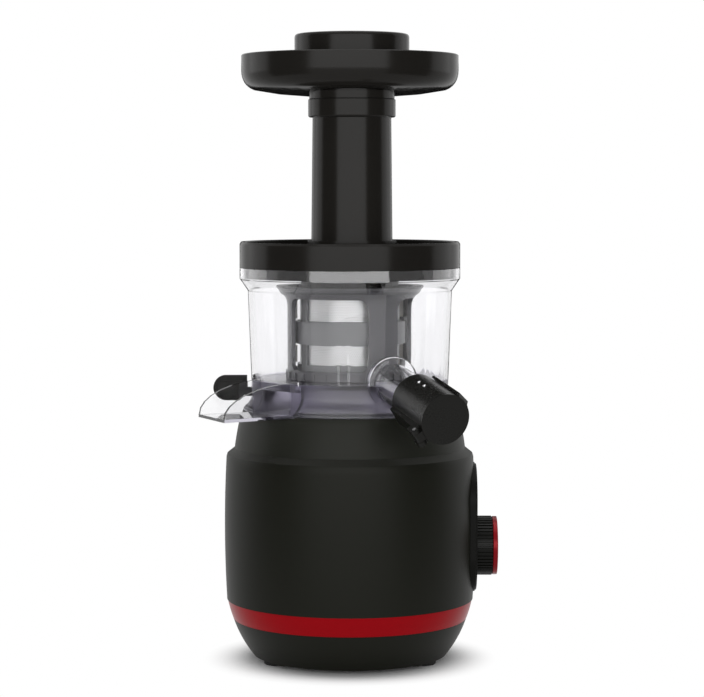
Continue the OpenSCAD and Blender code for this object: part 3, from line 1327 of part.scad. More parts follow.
module hopper_tray() color("#33312e") difference() {
    middle = [0, z_tray + 0.6];
    low = [tray_r - 24.4, z_tray + 1.1];
    turn = [tray_r - 8.5, z_tray + 5.1];
    wall_foot = [tray_r, z_tray + 20.2];
    inwards = [-tray_wall, 0.6];
    union() {
        turned(concat([middle, low], bow(turn, wall_foot, 2.3), [[tray_r, z_tray_rim - 0.6],
            [tray_r - 0.6, z_tray_rim], [tray_r - tray_wall, z_tray_rim]],
            bow(wall_foot + inwards, turn + [-0.8, tray_wall], -2.3),
            [low + [0, tray_wall], middle + [0, tray_wall]]));
        tube_place() up(z_tray) cylinder(r = neck_rim_r, h = neck_rim_h);
        tube_place() up(z_tray) cylinder(r = neck_out_r, h = 2.4);
        tube_place() up(z_tray - socket_depth + 0.6) cylinder(r = spigot_out_r, h = socket_depth);
    }
    tube_place() up(z_tray - socket_depth - over) cylinder(r = tube_bore_r, h = 60);
}

module pusher_rod() color("#2f2d2a") tube_place() {
    up(z_pusher_low) cylinder(r = pusher_r, h = pusher_wall);
    up(z_pusher_low) ring(pusher_r - pusher_wall, pusher_r, z_head_top - head_wall - z_pusher_low);
    up(z_tray + neck_rim_h + seam) ring(pusher_r - 1, neck_rim_r, 3);
}

module pusher_head() color("#2f2d2a") tube_place()
    turned([[0, z_head_top - head_wall], [head_r - head_wall, z_head_top - head_wall],
        [head_r - head_wall, z_head_rim], [head_r, z_head_rim], [head_r, z_head_top - head_edge],
        [head_r - 0.6, z_head_top - 0.6], [head_r - head_edge, z_head_top], [0, z_head_top]]);

// ---------------------------------------------------------------- the nodes

rubber_feet();
bottom_cover();
case_screws();
trim_ring();
motor_housing();
bowl_seat();
control_panel();
rotary_switch();
cord_bush();
control_board();
motor_can();
motor_magnets();
motor_end_bell();
carbon_brushes();
motor_bearings();
motor_screws();
gearbox_case();
gearbox_cover();
gearbox_screws();
output_bearings();
shaft_seal();
motor_shaft();
rotor_core();
rotor_windings();
commutator();
cooling_fan();
motor_pinion();
first_gear();
first_axle();
second_gear();
second_axle();
output_gear();
output_shaft();
switch_shaft();
switch_knob();
knob_cap();
juicing_bowl();
bowl_gasket();
pulp_plug();
lever_clip();
pulp_lever();
spout_sleeve();
cap_hinge_pin();
juice_cap();
cap_seal();
strainer_frame();
strainer_mesh();
idler_gear();
idler_axle();
brush_frame();
brush_wipers();
auger_screw();
auger_gear();
auger_stem();
lid();
lid_gasket();
feed_tube();
hopper_tray();
pusher_rod();
pusher_head();
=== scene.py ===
"""Looks of an upright cold press juicer, built round its construction model.

Every piece is made in metres in the construction model's own frame: the drive axis is
+Z, the control knob is on +X and both spouts point towards -Y.
"""
import logging
import math
from collections.abc import Callable
from dataclasses import dataclass, field
from enum import Enum
from functools import cache

import bmesh
import bpy
from mathutils import Matrix, Vector


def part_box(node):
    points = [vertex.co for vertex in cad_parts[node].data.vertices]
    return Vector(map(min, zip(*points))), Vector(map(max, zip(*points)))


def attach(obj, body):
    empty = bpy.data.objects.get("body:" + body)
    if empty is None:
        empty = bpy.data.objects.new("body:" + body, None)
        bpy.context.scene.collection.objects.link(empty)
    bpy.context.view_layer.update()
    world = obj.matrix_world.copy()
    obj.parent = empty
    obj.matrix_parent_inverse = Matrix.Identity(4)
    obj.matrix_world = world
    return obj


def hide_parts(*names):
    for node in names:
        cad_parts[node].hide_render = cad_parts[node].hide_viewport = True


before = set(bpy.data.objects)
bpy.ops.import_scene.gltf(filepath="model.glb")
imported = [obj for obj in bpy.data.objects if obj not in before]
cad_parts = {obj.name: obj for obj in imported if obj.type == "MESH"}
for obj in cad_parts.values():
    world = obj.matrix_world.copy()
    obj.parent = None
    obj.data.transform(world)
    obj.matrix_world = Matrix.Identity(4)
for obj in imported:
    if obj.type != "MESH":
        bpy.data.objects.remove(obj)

LOG = logging.getLogger("juicer")
MM = 0.001
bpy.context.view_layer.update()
Z_TO_X = Matrix.Rotation(math.pi / 2, 4, "Y")
CREASE = math.radians(40)

# Noise scales, in cells per metre.
CLOUDS, SPECKS, SCRATCHES, STAINS = 22.0, 900.0, 1800.0, 60.0

Colour = tuple[float, float, float]
Values = dict[object, object]
Thing = bpy.types.Object
Node = bpy.types.Node
Socket = bpy.types.NodeSocket


# ------------------------------ node trees


class NodeKit:
    """Adds nodes and links to one node tree."""

    def __init__(self, tree: bpy.types.NodeTree) -> None:
        """Works on a tree."""
        self.tree = tree

    def node(self, kind: str, values: Values | None = None, **settings: object) -> Node:
        """Adds a node.

        Args:
            kind: Its full type name.
            values: Sockets to link or values to set, by input name or number.
            settings: Properties to set before that.

        Returns:
            The node.
        """
        made = self.tree.nodes.new(kind)
        for key, value in settings.items():
            setattr(made, key, value)
        return self.feed(made, values or {})

    def feed(self, node: Node, values: Values) -> Node:
        """Links sockets to a node's inputs or sets their values, and returns the node."""
        for key, value in values.items():
            if isinstance(value, Socket):
                self.tree.links.new(value, node.inputs[key])
            else:
                node.inputs[key].default_value = value
        return node

    def maths(self, operation: str, *values: object) -> Socket:
        """Adds a Math node over sockets and numbers and returns its output."""
        made = self.node("ShaderNodeMath", dict(enumerate(values)), operation=operation)
        return made.outputs[0]

    def blend(self, share: object, first: object, second: object) -> Socket:
        """Mixes two colours by the share of the second one and returns the result."""
        values = {"Factor": share, "A": first, "B": second}
        return self.node("ShaderNodeMix", values, data_type="RGBA").outputs["Result"]


class SurfaceGroup(NodeKit):
    """A shader node group that several finishes share.

    It puts out a colour, a roughness and the height of a fine relief.
    """

    def __init__(self, name: str, *inputs: tuple[str, str, object]) -> None:
        """Starts the group.

        Args:
            name: Its name.
            inputs: The name, type and default of each input. The types leave out the
                NodeSocket prefix.
        """
        super().__init__(bpy.data.node_groups.new(name, "ShaderNodeTree"))
        source = self.node("NodeGroupInput")
        self.sink = self.node("NodeGroupOutput")
        sockets = self.tree.interface
        for label, kind, default in inputs:
            made = sockets.new_socket(label, in_out="INPUT", socket_type=f"NodeSocket{kind}")
            made.default_value = default
        for label, kind in (("Color", "Color"), ("Roughness", "Float"), ("Height", "Float")):
            sockets.new_socket(label, in_out="OUTPUT", socket_type=f"NodeSocket{kind}")
        self.given = source.outputs

    def noise(self, scale: object, detail: float, vector: Socket) -> Socket:
        """Adds a noise texture and returns its value, from 0 to 1."""
        values = {"Scale": scale, "Detail": detail, "Vector": vector}
        return self.node("ShaderNodeTexNoise", values).outputs["Fac"]

    def close(self, share: Socket, second: str, shift: Socket, height: Socket) -> bpy.types.NodeTree:
        """Ends the group.

        Args:
            share: The share of the second colour.
            second: The input with that colour.
            shift: How the roughness wanders, in parts of its spread.
            height: The relief.

        Returns:
            The finished tree.
        """
        wander = self.maths("MULTIPLY", shift, self.given["Roughness Spread"])
        self.feed(self.sink, {
            "Color": self.blend(share, self.given["Color"], self.given[second]),
            "Roughness": self.maths("ADD", self.given["Roughness"], wander),
            "Height": height,
        })
        return self.tree


@cache
def moulded_group() -> bpy.types.NodeTree:
    """Builds the group for moulded plastic and rubber, with a fine spark-eroded grain."""
    group = SurfaceGroup(
        "moulded_surface", ("Vector", "Vector", (0, 0, 0)), ("Color", "Color", (0.5, 0.5, 0.5, 1)),
        ("Worn Color", "Color", (0.6, 0.6, 0.6, 1)), ("Roughness", "Float", 0.4),
        ("Roughness Spread", "Float", 0.05), ("Grain Scale", "Float", 2500.0))
    vector = group.given["Vector"]
    cloud, speck = group.noise(CLOUDS, 3.0, vector), group.noise(SPECKS, 2.0, vector)
    share = group.maths("MULTIPLY_ADD", speck, 0.35, group.maths("MULTIPLY", cloud, 0.65))
    grain = group.noise(group.given["Grain Scale"], 1.0, vector)
    return group.close(share, "Worn Color", group.maths("MULTIPLY_ADD", share, 2.0, -1.0), grain)


@cache
def brushed_group() -> bpy.types.NodeTree:
    """Builds the group for turned, ground and rolled metal, with fine scratches."""
    group = SurfaceGroup(
        "brushed_surface", ("Vector", "Vector", (0, 0, 0)), ("Color", "Color", (0.6, 0.6, 0.6, 1)),
        ("Dark Color", "Color", (0.3, 0.3, 0.3, 1)), ("Roughness", "Float", 0.3),
        ("Roughness Spread", "Float", 0.1), ("Stretch", "Vector", (1.0, 1.0, 0.05)))
    vector = group.given["Vector"]
    stretched = group.node("ShaderNodeVectorMath", {0: vector, 1: group.given["Stretch"]},
                           operation="MULTIPLY")
    scratch = group.noise(SCRATCHES, 3.0, stretched.outputs[0])
    share = group.maths("MULTIPLY", group.noise(STAINS, 4.0, vector), scratch)
    return group.close(share, "Dark Color", group.maths("ADD", scratch, -0.5), scratch)


# ------------------------------ finishes


class Surface(Enum):
    """What a finish is like from close by. The value is the input of its second colour."""

    MOULDED = "Worn Color"
    BRUSHED = "Dark Color"


@dataclass(frozen=True)
class Finish:
    """A surface finish. Lengths are in metres and colours are linear.

    A finish with a frost colour is frosted below frost_top, within frost_r of the Z axis.
    """

    name: str
    colour: Colour
    worn: Colour
    roughness: float
    spread: float = 0.05
    grain: float = 2500.0
    depth: float = 0.00002
    relief: float = 0.6
    specular: float = 0.35
    metallic: float = 0.0
    transmission: float = 0.0
    ior: float = 1.5
    tint: Colour = (1.0, 1.0, 1.0)
    tint_density: float = 0.0
    surface: Surface = Surface.MOULDED
    stretch: tuple[float, float, float] = (1.0, 1.0, 0.05)
    frost: Colour | None = None
    frost_roughness: float = 0.3
    frost_top: float = 0.0
    frost_r: float = 0.0
    frost_fade: float = 1.5 * MM

    def material(self) -> bpy.types.Material:
        """Returns this finish's material, building it the first time."""
        found = bpy.data.materials.get(self.name)
        return found if found else self._build()

    def _build(self) -> bpy.types.Material:
        """Builds the material: a Principled shader fed by the shared group."""
        made = bpy.data.materials.new(self.name)
        made.use_nodes = True
        kit = NodeKit(made.node_tree)
        place = kit.node("ShaderNodeTexCoord").outputs["Object"]
        brushed = self.surface is Surface.BRUSHED
        own = {"Stretch": self.stretch} if brushed else {"Grain Scale": self.grain}
        surface = kit.node("ShaderNodeGroup", {
            "Vector": place, "Color": (*self.colour, 1), self.surface.value: (*self.worn, 1),
            "Roughness": self.roughness, "Roughness Spread": self.spread, **own,
        }, node_tree=brushed_group() if brushed else moulded_group()).outputs
        colour, roughness = surface["Color"], surface["Roughness"]
        if self.frost is not None:
            colour, roughness = self._frosted(kit, place, colour, roughness)
        shader = kit.feed(kit.tree.nodes["Principled BSDF"], {
            "Base Color": colour, "Roughness": roughness, "Metallic": self.metallic,
            "Specular IOR Level": self.specular, "Transmission Weight": self.transmission,
            "IOR": self.ior,
        })
        if self.depth > 0:
            bump = kit.node("ShaderNodeBump", {"Distance": self.depth, "Strength": self.relief,
                                               "Height": surface["Height"]})
            kit.feed(shader, {"Normal": bump.outputs["Normal"]})
        if self.tint_density > 0:
            inside = kit.node("ShaderNodeVolumeAbsorption",
                              {"Color": (*self.tint, 1), "Density": self.tint_density})
            kit.feed(kit.tree.nodes["Material Output"], {"Volume": inside.outputs["Volume"]})
        return made

    def _frosted(self, kit: NodeKit, place: Socket, colour: Socket,
                 roughness: Socket) -> tuple[Socket, Socket]:
        """Frosts the low inner part of a moulding.

        Args:
            place: The object coordinates.
            colour: The colour elsewhere.
            roughness: The roughness elsewhere.

        Returns:
            The new colour and roughness.
        """
        apart = kit.node("ShaderNodeSeparateXYZ", {0: place}).outputs
        flat = kit.node("ShaderNodeCombineXYZ", {"X": apart["X"], "Y": apart["Y"]})
        reach = kit.node("ShaderNodeVectorMath", {0: flat.outputs[0]}, operation="LENGTH")
        shares = []
        for value, limit in ((apart["Z"], self.frost_top), (reach.outputs["Value"], self.frost_r)):
            fade = kit.node("ShaderNodeMapRange", {"Value": value, "From Min": limit,
                                                   "From Max": limit - self.frost_fade})
            shares.append(fade.outputs["Result"])
        share = kit.maths("MULTIPLY", *shares)
        rough = kit.maths("MULTIPLY_ADD", share, self.frost_roughness, roughness)
        return kit.blend(share, colour, (*self.frost, 1)), rough


HOUSING = Finish("satin_black_housing", (0.0050, 0.0053, 0.0030), (0.0066, 0.0069, 0.0044), 0.44,
                 specular=0.10)
SEAT = Finish("satin_black_seat", (0.0098, 0.0104, 0.0074), (0.0118, 0.0124, 0.0094), 0.46,
              specular=0.11)
PANEL = Finish("fine_black_panel", (0.0026, 0.0026, 0.0022), (0.0038, 0.0038, 0.0032), 0.46,
               grain=1600.0, depth=0.00004, specular=0.07)
TOP_PLASTIC = Finish("satin_black_top", (0.0104, 0.0095, 0.0083), (0.0120, 0.0111, 0.0099), 0.20,
                     depth=0.000008, specular=0.095)
RED_TRIM = Finish("red_metallic_trim", (0.235, 0.0008, 0.0032), (0.252, 0.0014, 0.0048), 0.30,
                  grain=4000.0, depth=0.000004, specular=0.06, metallic=0.25)
BLACK_PART = Finish("satin_black_part", (0.0066, 0.0065, 0.0056), (0.0080, 0.0079, 0.0070), 0.28,
                    specular=0.12)
KNOB_PLASTIC = Finish("satin_black_knob", (0.0028, 0.0029, 0.0021), (0.0038, 0.0039, 0.0031), 0.30,
                      specular=0.10)
KNOB_RED = Finish("red_metallic_knob", (0.170, 0.0010, 0.0034), (0.184, 0.0016, 0.0048), 0.26,
                  grain=4000.0, depth=0.000004, specular=0.13, metallic=0.25)
RUBBER = Finish("black_rubber", (0.0120, 0.0120, 0.0120), (0.0220, 0.0220, 0.0215), 0.75,
                spread=0.1, grain=1200.0, depth=0.00005, specular=0.2)
SILICONE = Finish("milky_silicone", (0.62, 0.60, 0.56), (0.55, 0.53, 0.49), 0.5, specular=0.4)
CLEAR = Finish("clear_moulding", (0.985, 0.985, 0.99), (0.975, 0.975, 0.98), 0.03, spread=0.01,
               depth=0.0, specular=0.5, transmission=1.0, ior=1.49, tint=(0.52, 0.50, 0.60),
               tint_density=22.0, frost=(0.74, 0.72, 0.80), frost_top=197.5 * MM,
               frost_r=76.0 * MM)
SMOKY = Finish("smoky_moulding", (0.085, 0.083, 0.092), (0.105, 0.103, 0.112), 0.22, spread=0.04,
               depth=0.0, specular=0.45, transmission=0.25, ior=1.5)
PLUG = Finish("smoky_silicone", (0.150, 0.132, 0.175), (0.170, 0.152, 0.195), 0.5, specular=0.3)
STRAINER_PLASTIC = Finish("grey_strainer_moulding", (0.16, 0.16, 0.165), (0.19, 0.19, 0.195), 0.3,
                          specular=0.4)
SCREEN = Finish("bright_screen", (0.80, 0.80, 0.80), (0.70, 0.70, 0.70), 0.35, spread=0.15,
                depth=0.00001, metallic=0.6, surface=Surface.BRUSHED)
AUGER_PLASTIC = Finish("ivory_auger", (0.55, 0.53, 0.47), (0.49, 0.47, 0.41), 0.35, specular=0.4)
GEAR_PLASTIC = Finish("ivory_gear", (0.60, 0.57, 0.47), (0.53, 0.50, 0.40), 0.45, specular=0.35)
GREY_PLASTIC = Finish("grey_moulding", (0.24, 0.24, 0.23), (0.20, 0.20, 0.19), 0.5)
STEEL = Finish("ground_steel", (0.56, 0.56, 0.57), (0.38, 0.38, 0.39), 0.26, spread=0.2,
               depth=0.00001, metallic=1.0, surface=Surface.BRUSHED)
SCREW_STEEL = Finish("zinc_plated_steel", (0.50, 0.50, 0.53), (0.36, 0.36, 0.37), 0.36,
                     spread=0.2, depth=0.00001, metallic=1.0, surface=Surface.BRUSHED,
                     stretch=(1.0, 1.0, 1.0))
IRON = Finish("laminated_iron", (0.20, 0.20, 0.21), (0.10, 0.09, 0.08), 0.5, spread=0.2,
              depth=0.00004, metallic=0.9, surface=Surface.BRUSHED, stretch=(0.02, 0.02, 1.0))
MAGNET = Finish("sintered_magnet", (0.05, 0.05, 0.055), (0.08, 0.08, 0.085), 0.6, spread=0.1,
                grain=900.0, depth=0.00006)
COPPER = Finish("enamelled_copper", (0.52, 0.20, 0.07), (0.30, 0.10, 0.04), 0.3, spread=0.2,
                depth=0.00008, metallic=0.9, surface=Surface.BRUSHED, stretch=(0.3, 0.3, 0.3))
DIE_CAST = Finish("die_cast_metal", (0.42, 0.42, 0.41), (0.30, 0.30, 0.29), 0.5, spread=0.2,
                  depth=0.00005, metallic=0.9, surface=Surface.BRUSHED, stretch=(0.4, 0.4, 0.4))
CARBON = Finish("sintered_carbon", (0.03, 0.03, 0.03), (0.05, 0.05, 0.05), 0.7, grain=1500.0,
                depth=0.00005)
BOARD = Finish("green_board", (0.02, 0.12, 0.05), (0.03, 0.16, 0.07), 0.4, spread=0.1)
BEARING = Finish("polished_bearing", (0.60, 0.60, 0.61), (0.45, 0.45, 0.46), 0.15, spread=0.1,
                 depth=0.0, metallic=1.0, surface=Surface.BRUSHED)


# ------------------------------ mesh helpers


class Bench:
    """Makes meshes and turns them into finished pieces."""

    @staticmethod
    def add(name: str, mesh: bpy.types.Mesh) -> Thing:
        """Puts a mesh in the scene as an object at the origin."""
        made = bpy.data.objects.new(name, mesh)
        bpy.context.scene.collection.objects.link(made)
        return made

    @staticmethod
    def sheet(name: str, points: list, faces: list[tuple[int, ...]], suffix: str = "mesh") -> Thing:
        """Makes an object from points and faces just as they are given."""
        mesh = bpy.data.meshes.new(f"{name}_{suffix}")
        mesh.from_pydata(points, [], faces)
        return Bench.add(name, mesh)

    @staticmethod
    def take(name: str, made: bmesh.types.BMesh) -> Thing:
        """Makes an object from an edit mesh, with its faces turned outwards."""
        bmesh.ops.recalc_face_normals(made, faces=made.faces)
        mesh = bpy.data.meshes.new(f"{name}_mesh")
        made.to_mesh(mesh)
        made.free()
        return Bench.add(name, mesh)

    @staticmethod
    def bake(piece: Thing) -> Thing:
        """Replaces a piece's mesh with its evaluated one, drops its modifiers, returns it."""
        graph = bpy.context.evaluated_depsgraph_get()
        mesh = bpy.data.meshes.new_from_object(piece.evaluated_get(graph), depsgraph=graph)
        mesh.name = f"{piece.name}_mesh"
        piece.modifiers.clear()
        piece.data = mesh
        return piece

    @staticmethod
    def finish(piece: Thing, body: str, look: Finish, slot: str, *nodes: str) -> Thing:
        """Dresses a piece, hangs it on its body and lets it stand for construction nodes.

        Args:
            piece: The finished mesh object.
            body: The body that it moves with.
            look: Its finish.
            slot: The record's material slot. It is not used.
            nodes: Construction nodes that it replaces.

        Returns:
            The piece.
        """
        piece.data.materials.clear()
        piece.data.materials.append(look.material())
        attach(piece, body)
        if nodes:
            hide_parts(*nodes)
        LOG.info("piece %s on %s: %d faces", piece.name, body, len(piece.data.polygons))
        return piece


def lathe(name: str, profile: list[tuple[float, float]], steps: int = 64) -> Thing:
    """Turns a closed outline round the local Z axis.

    Args:
        name: The new object's name.
        profile: Radius and height pairs in metres, the solid's outline in order.
        steps: Number of segments round the axis.

    Returns:
        An object with a closed, smooth mesh whose faces point outwards.
    """
    made = bmesh.new()
    rings = []
    for turn in range(steps):
        spin = Matrix.Rotation(2 * math.pi * turn / steps, 3, "Z")
        rings.append([made.verts.new(spin @ Vector((radius, 0, height))) for radius, height in profile])
    for turn, ring in enumerate(rings):
        after = rings[(turn + 1) % steps]
        for point in range(len(profile)):
            following = (point + 1) % len(profile)
            made.faces.new((ring[point], after[point], after[following], ring[following]))
    bmesh.ops.remove_doubles(made, verts=made.verts, dist=1e-7)
    piece = Bench.take(name, made)
    piece.data.shade_smooth()
    return piece


def solid(name: str, points: list[Vector], faces: list[tuple[int, ...]]) -> Thing:
    """Makes a closed mesh object from points and faces, its faces turned outwards."""
    made = bmesh.new()
    corners = [made.verts.new(point) for point in points]
    for face in faces:
        made.faces.new([corners[index] for index in face])
    return Bench.take(name, made)


def belt(count: int, low: int, high: int) -> list[tuple[int, ...]]:
    """Returns the faces between two closed rows of points, given the first of each."""
    return [(low + i, low + (i + 1) % count, high + (i + 1) % count, high + i)
            for i in range(count)]


def prism(name: str, outline: list[Vector], push: Vector) -> Thing:
    """Makes a closed prism from an outline and the way that it is pushed."""
    count = len(outline)
    faces = [tuple(range(count)), tuple(range(count, 2 * count)), *belt(count, 0, count)]
    return solid(name, outline + [point + push for point in outline], faces)


def rounded(piece: Thing, width: float, sharp: float, segments: int = 2) -> Thing:
    """Rounds the edges of a piece that are sharper than an angle, for good."""
    piece.data.shade_smooth()
    edges = piece.modifiers.new("rounding", "BEVEL")
    edges.width = width
    edges.segments = segments
    edges.limit_method = "ANGLE"
    edges.angle_limit = sharp
    edges.harden_normals = True
    return Bench.bake(piece)


def carved(piece: Thing, cutters: list[Thing]) -> Thing:
    """Cuts closed shapes out of a piece and deletes the cutters."""
    for cutter in cutters:
        cut = piece.modifiers.new("cut", "BOOLEAN")
        cut.operation = "DIFFERENCE"
        cut.solver = "EXACT"
        cut.object = cutter
    Bench.bake(piece)
    for cutter in cutters:
        bpy.data.objects.remove(cutter)
    return piece


@dataclass
class Shell:
    """A visible construction node, remade with rounded edges and smooth shading."""

    node: str
    name: str
    body: str
    look: Finish
    slot: str
    edge: float = 0.5 * MM
    sharp: float = math.radians(18)
    segments: int = 3
    weld: float = 0.002 * MM
    flat: float = math.radians(0.4)
    cut_above: float = math.inf
    rise: Callable[[Vector], float] | None = None

    def build(self) -> Thing:
        """Copies the node's mesh, closes it, rounds its edges and dresses it.

        Returns:
            The finished piece.
        """
        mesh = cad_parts[self.node].data.copy()
        made = bmesh.new()
        made.from_mesh(mesh)
        bmesh.ops.remove_doubles(made, verts=made.verts, dist=self.weld)
        if self.cut_above < math.inf:
            self._cut(made)
        if self.rise is not None:
            for vert in made.verts:
                vert.co.z += self.rise(vert.co.copy())
        bmesh.ops.dissolve_limit(made, angle_limit=self.flat, verts=made.verts,
                                 edges=made.edges, use_dissolve_boundaries=False)
        made.to_mesh(mesh)
        made.free()
        if "custom_normal" in mesh.attributes:
            mesh.attributes.remove(mesh.attributes["custom_normal"])
        mesh.shade_smooth()
        piece = Bench.add(self.name, mesh)
        if self.edge > 0:
            rounded(piece, self.edge, self.sharp, self.segments)
        else:
            Bench.bake(piece)
        return Bench.finish(piece, self.body, self.look, self.slot, self.node)

    def _cut(self, made: bmesh.types.BMesh) -> None:
        """Takes away what lies above the cut and closes the mesh there."""
        parts = made.verts[:] + made.edges[:] + made.faces[:]
        cut = bmesh.ops.bisect_plane(made, geom=parts, plane_co=(0, 0, self.cut_above),
                                     plane_no=(0, 0, 1), clear_outer=True)
        rims = [e for e in cut["geom_cut"] if isinstance(e, bmesh.types.BMEdge)]
        bmesh.ops.triangle_fill(made, use_beauty=True, use_dissolve=False, edges=rims,
                                normal=(0, 0, 1))


def dress(looks: dict[str, Finish]) -> None:
    """Gives construction nodes that stay as they are a finish each.

    Args:
        looks: The finish by the node's name.
    """
    for node, look in looks.items():
        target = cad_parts[node]
        target.data.materials.clear()
        target.data.materials.append(look.material())
        LOG.info("node %s dressed in %s", node, look.name)


# ------------------------------ geometry node trees


class PieceTree(NodeKit):
    """A geometry node tree with named inputs, which repeats the mesh of its piece."""

    def __init__(self, name: str) -> None:
        """Starts an empty tree with a geometry input and output."""
        super().__init__(bpy.data.node_groups.new(name, "GeometryNodeTree"))
        for way in ("INPUT", "OUTPUT"):
            self.tree.interface.new_socket("Geometry", in_out=way, socket_type="NodeSocketGeometry")
        self.source = self.node("NodeGroupInput")
        self.sink = self.node("NodeGroupOutput")
        self.identifiers: dict[str, str] = {}

    def number(self, name: str, default: float, whole: bool = False) -> Socket:
        """Adds a named number to the tree's inputs.

        Args:
            name: The input's name.
            default: Its value.
            whole: Whether it is an integer.

        Returns:
            The socket that carries it inside the tree.
        """
        kind = "NodeSocketInt" if whole else "NodeSocketFloat"
        made = self.tree.interface.new_socket(name, in_out="INPUT", socket_type=kind)
        made.default_value = int(default) if whole else default
        self.identifiers[name] = made.identifier
        return self.source.outputs[name]

    def vector(self, **parts: object) -> Socket:
        """Joins X, Y and Z, each a socket or a number, and returns the vector."""
        return self.node("ShaderNodeCombineXYZ", parts).outputs["Vector"]

    def polar(self, reach: object, angle: object, height: object) -> Socket:
        """Returns the place at a distance from the Z axis, an angle and a height."""
        return self.vector(X=self.maths("MULTIPLY", reach, self.maths("COSINE", angle)),
                           Y=self.maths("MULTIPLY", reach, self.maths("SINE", angle)), Z=height)

    def moved(self, geometry: Socket, place: Socket) -> Socket:
        """Sets the position of a geometry's points and returns the geometry."""
        put = self.node("GeometryNodeSetPosition", {"Geometry": geometry, "Position": place})
        return put.outputs["Geometry"]

    def copies(self, count: object, place: Socket, **more: object) -> Socket:
        """Puts copies of the input mesh at places.

        Args:
            count: How many.
            place: The place, which depends on the copy's index.
            more: Further inputs of the node that puts them there.

        Returns:
            The copies, as instances.
        """
        line = self.node("GeometryNodeMeshLine", {"Count": count}, mode="OFFSET")
        made = self.node("GeometryNodeInstanceOnPoints", {
            "Points": self.moved(line.outputs["Mesh"], place),
            "Instance": self.source.outputs["Geometry"], **more})
        return made.outputs["Instances"]

    def real(self, instances: Socket) -> Socket:
        """Turns instances into one mesh and returns it."""
        return self.node("GeometryNodeRealizeInstances", {"Geometry": instances}).outputs["Geometry"]

    def close(self, geometry: Socket, look: Finish) -> "PieceTree":
        """Ends the tree in Realize Instances and Set Material.

        Args:
            geometry: The geometry to put out.
            look: The finish that it gets.

        Returns:
            The tree itself.
        """
        paint = self.node("GeometryNodeSetMaterial",
                          {"Geometry": self.real(geometry), "Material": look.material()})
        self.feed(self.sink, {"Geometry": paint.outputs["Geometry"]})
        return self

    def apply(self, piece: Thing, values: dict[str, float]) -> Thing:
        """Runs the tree on a piece and keeps the result as a plain mesh.

        Args:
            piece: The object whose mesh is the tree's input.
            values: Input values by name.

        Returns:
            The piece.
        """
        run = piece.modifiers.new(self.tree.name, "NODES")
        run.node_group = self.tree
        for name, value in values.items():
            run[self.identifiers[name]] = value
        return Bench.bake(piece)


def build_ring_tree(look: Finish) -> PieceTree:
    """Builds the tree that repeats its input mesh round the local Z axis.

    Args:
        look: The finish of the result.

    Returns:
        A tree with the inputs Count, Radius and Start, in metres and radians.
    """
    made = PieceTree(f"ring_of_{look.name}")
    count = made.number("Count", 8, whole=True)
    radius = made.number("Radius", 0.01)
    start = made.number("Start", 0.0)
    index = made.node("GeometryNodeInputIndex").outputs["Index"]
    step = made.maths("DIVIDE", 2 * math.pi, count)
    angle = made.maths("MULTIPLY_ADD", index, step, start)
    copies = made.copies(count, made.polar(radius, angle, 0.0), Rotation=made.vector(Z=angle))
    return made.close(copies, look)


def build_screen_tree(look: Finish) -> PieceTree:
    """Builds the tree that lays its input cell in a honeycomb and rolls the sheet up.

    The cell lies in the XZ plane with its outer face towards -Y. The sheet is rolled round
    the Z axis with that face outwards, and its cells are welded together.

    Args:
        look: The finish of the result.

    Returns:
        A tree with the inputs Columns, Rows, Radius and Low, in metres.
    """
    made = PieceTree(f"screen_of_{look.name}")
    columns = made.number("Columns", 160, whole=True)
    rows = made.number("Rows", 10, whole=True)
    radius = made.number("Radius", 0.03)
    low = made.number("Low", 0.0)
    index = made.node("GeometryNodeInputIndex").outputs["Index"]
    row = made.maths("FLOOR", made.maths("DIVIDE", made.maths("ADD", index, 0.5), columns))
    column = made.maths("SUBTRACT", index, made.maths("MULTIPLY", row, columns))
    shift = made.maths("MULTIPLY", made.maths("MODULO", row, 2.0), 0.5)
    pitch = made.maths("DIVIDE", made.maths("MULTIPLY", 2 * math.pi, radius), columns)
    rise = made.maths("MULTIPLY", pitch, math.sqrt(3) / 2)
    place = made.vector(X=made.maths("MULTIPLY", made.maths("ADD", column, shift), pitch),
                        Z=made.maths("MULTIPLY_ADD", made.maths("ADD", row, 0.5), rise, low))
    copies = made.copies(made.maths("MULTIPLY", columns, rows), place,
                         Scale=made.vector(X=pitch, Y=1.0, Z=pitch))
    position = made.node("GeometryNodeInputPosition").outputs["Position"]
    here = made.node("ShaderNodeSeparateXYZ", {"Vector": position}).outputs
    angle = made.maths("DIVIDE", here["X"], radius)
    reach = made.maths("SUBTRACT", radius, here["Y"])
    rolled = made.moved(made.real(copies), made.polar(reach, angle, here["Z"]))
    weld = 0.05 * MM
    welded = made.node("GeometryNodeMergeByDistance", {"Geometry": rolled, "Distance": weld})
    return made.close(welded.outputs["Geometry"], look)


# ------------------------------ sub-assemblies


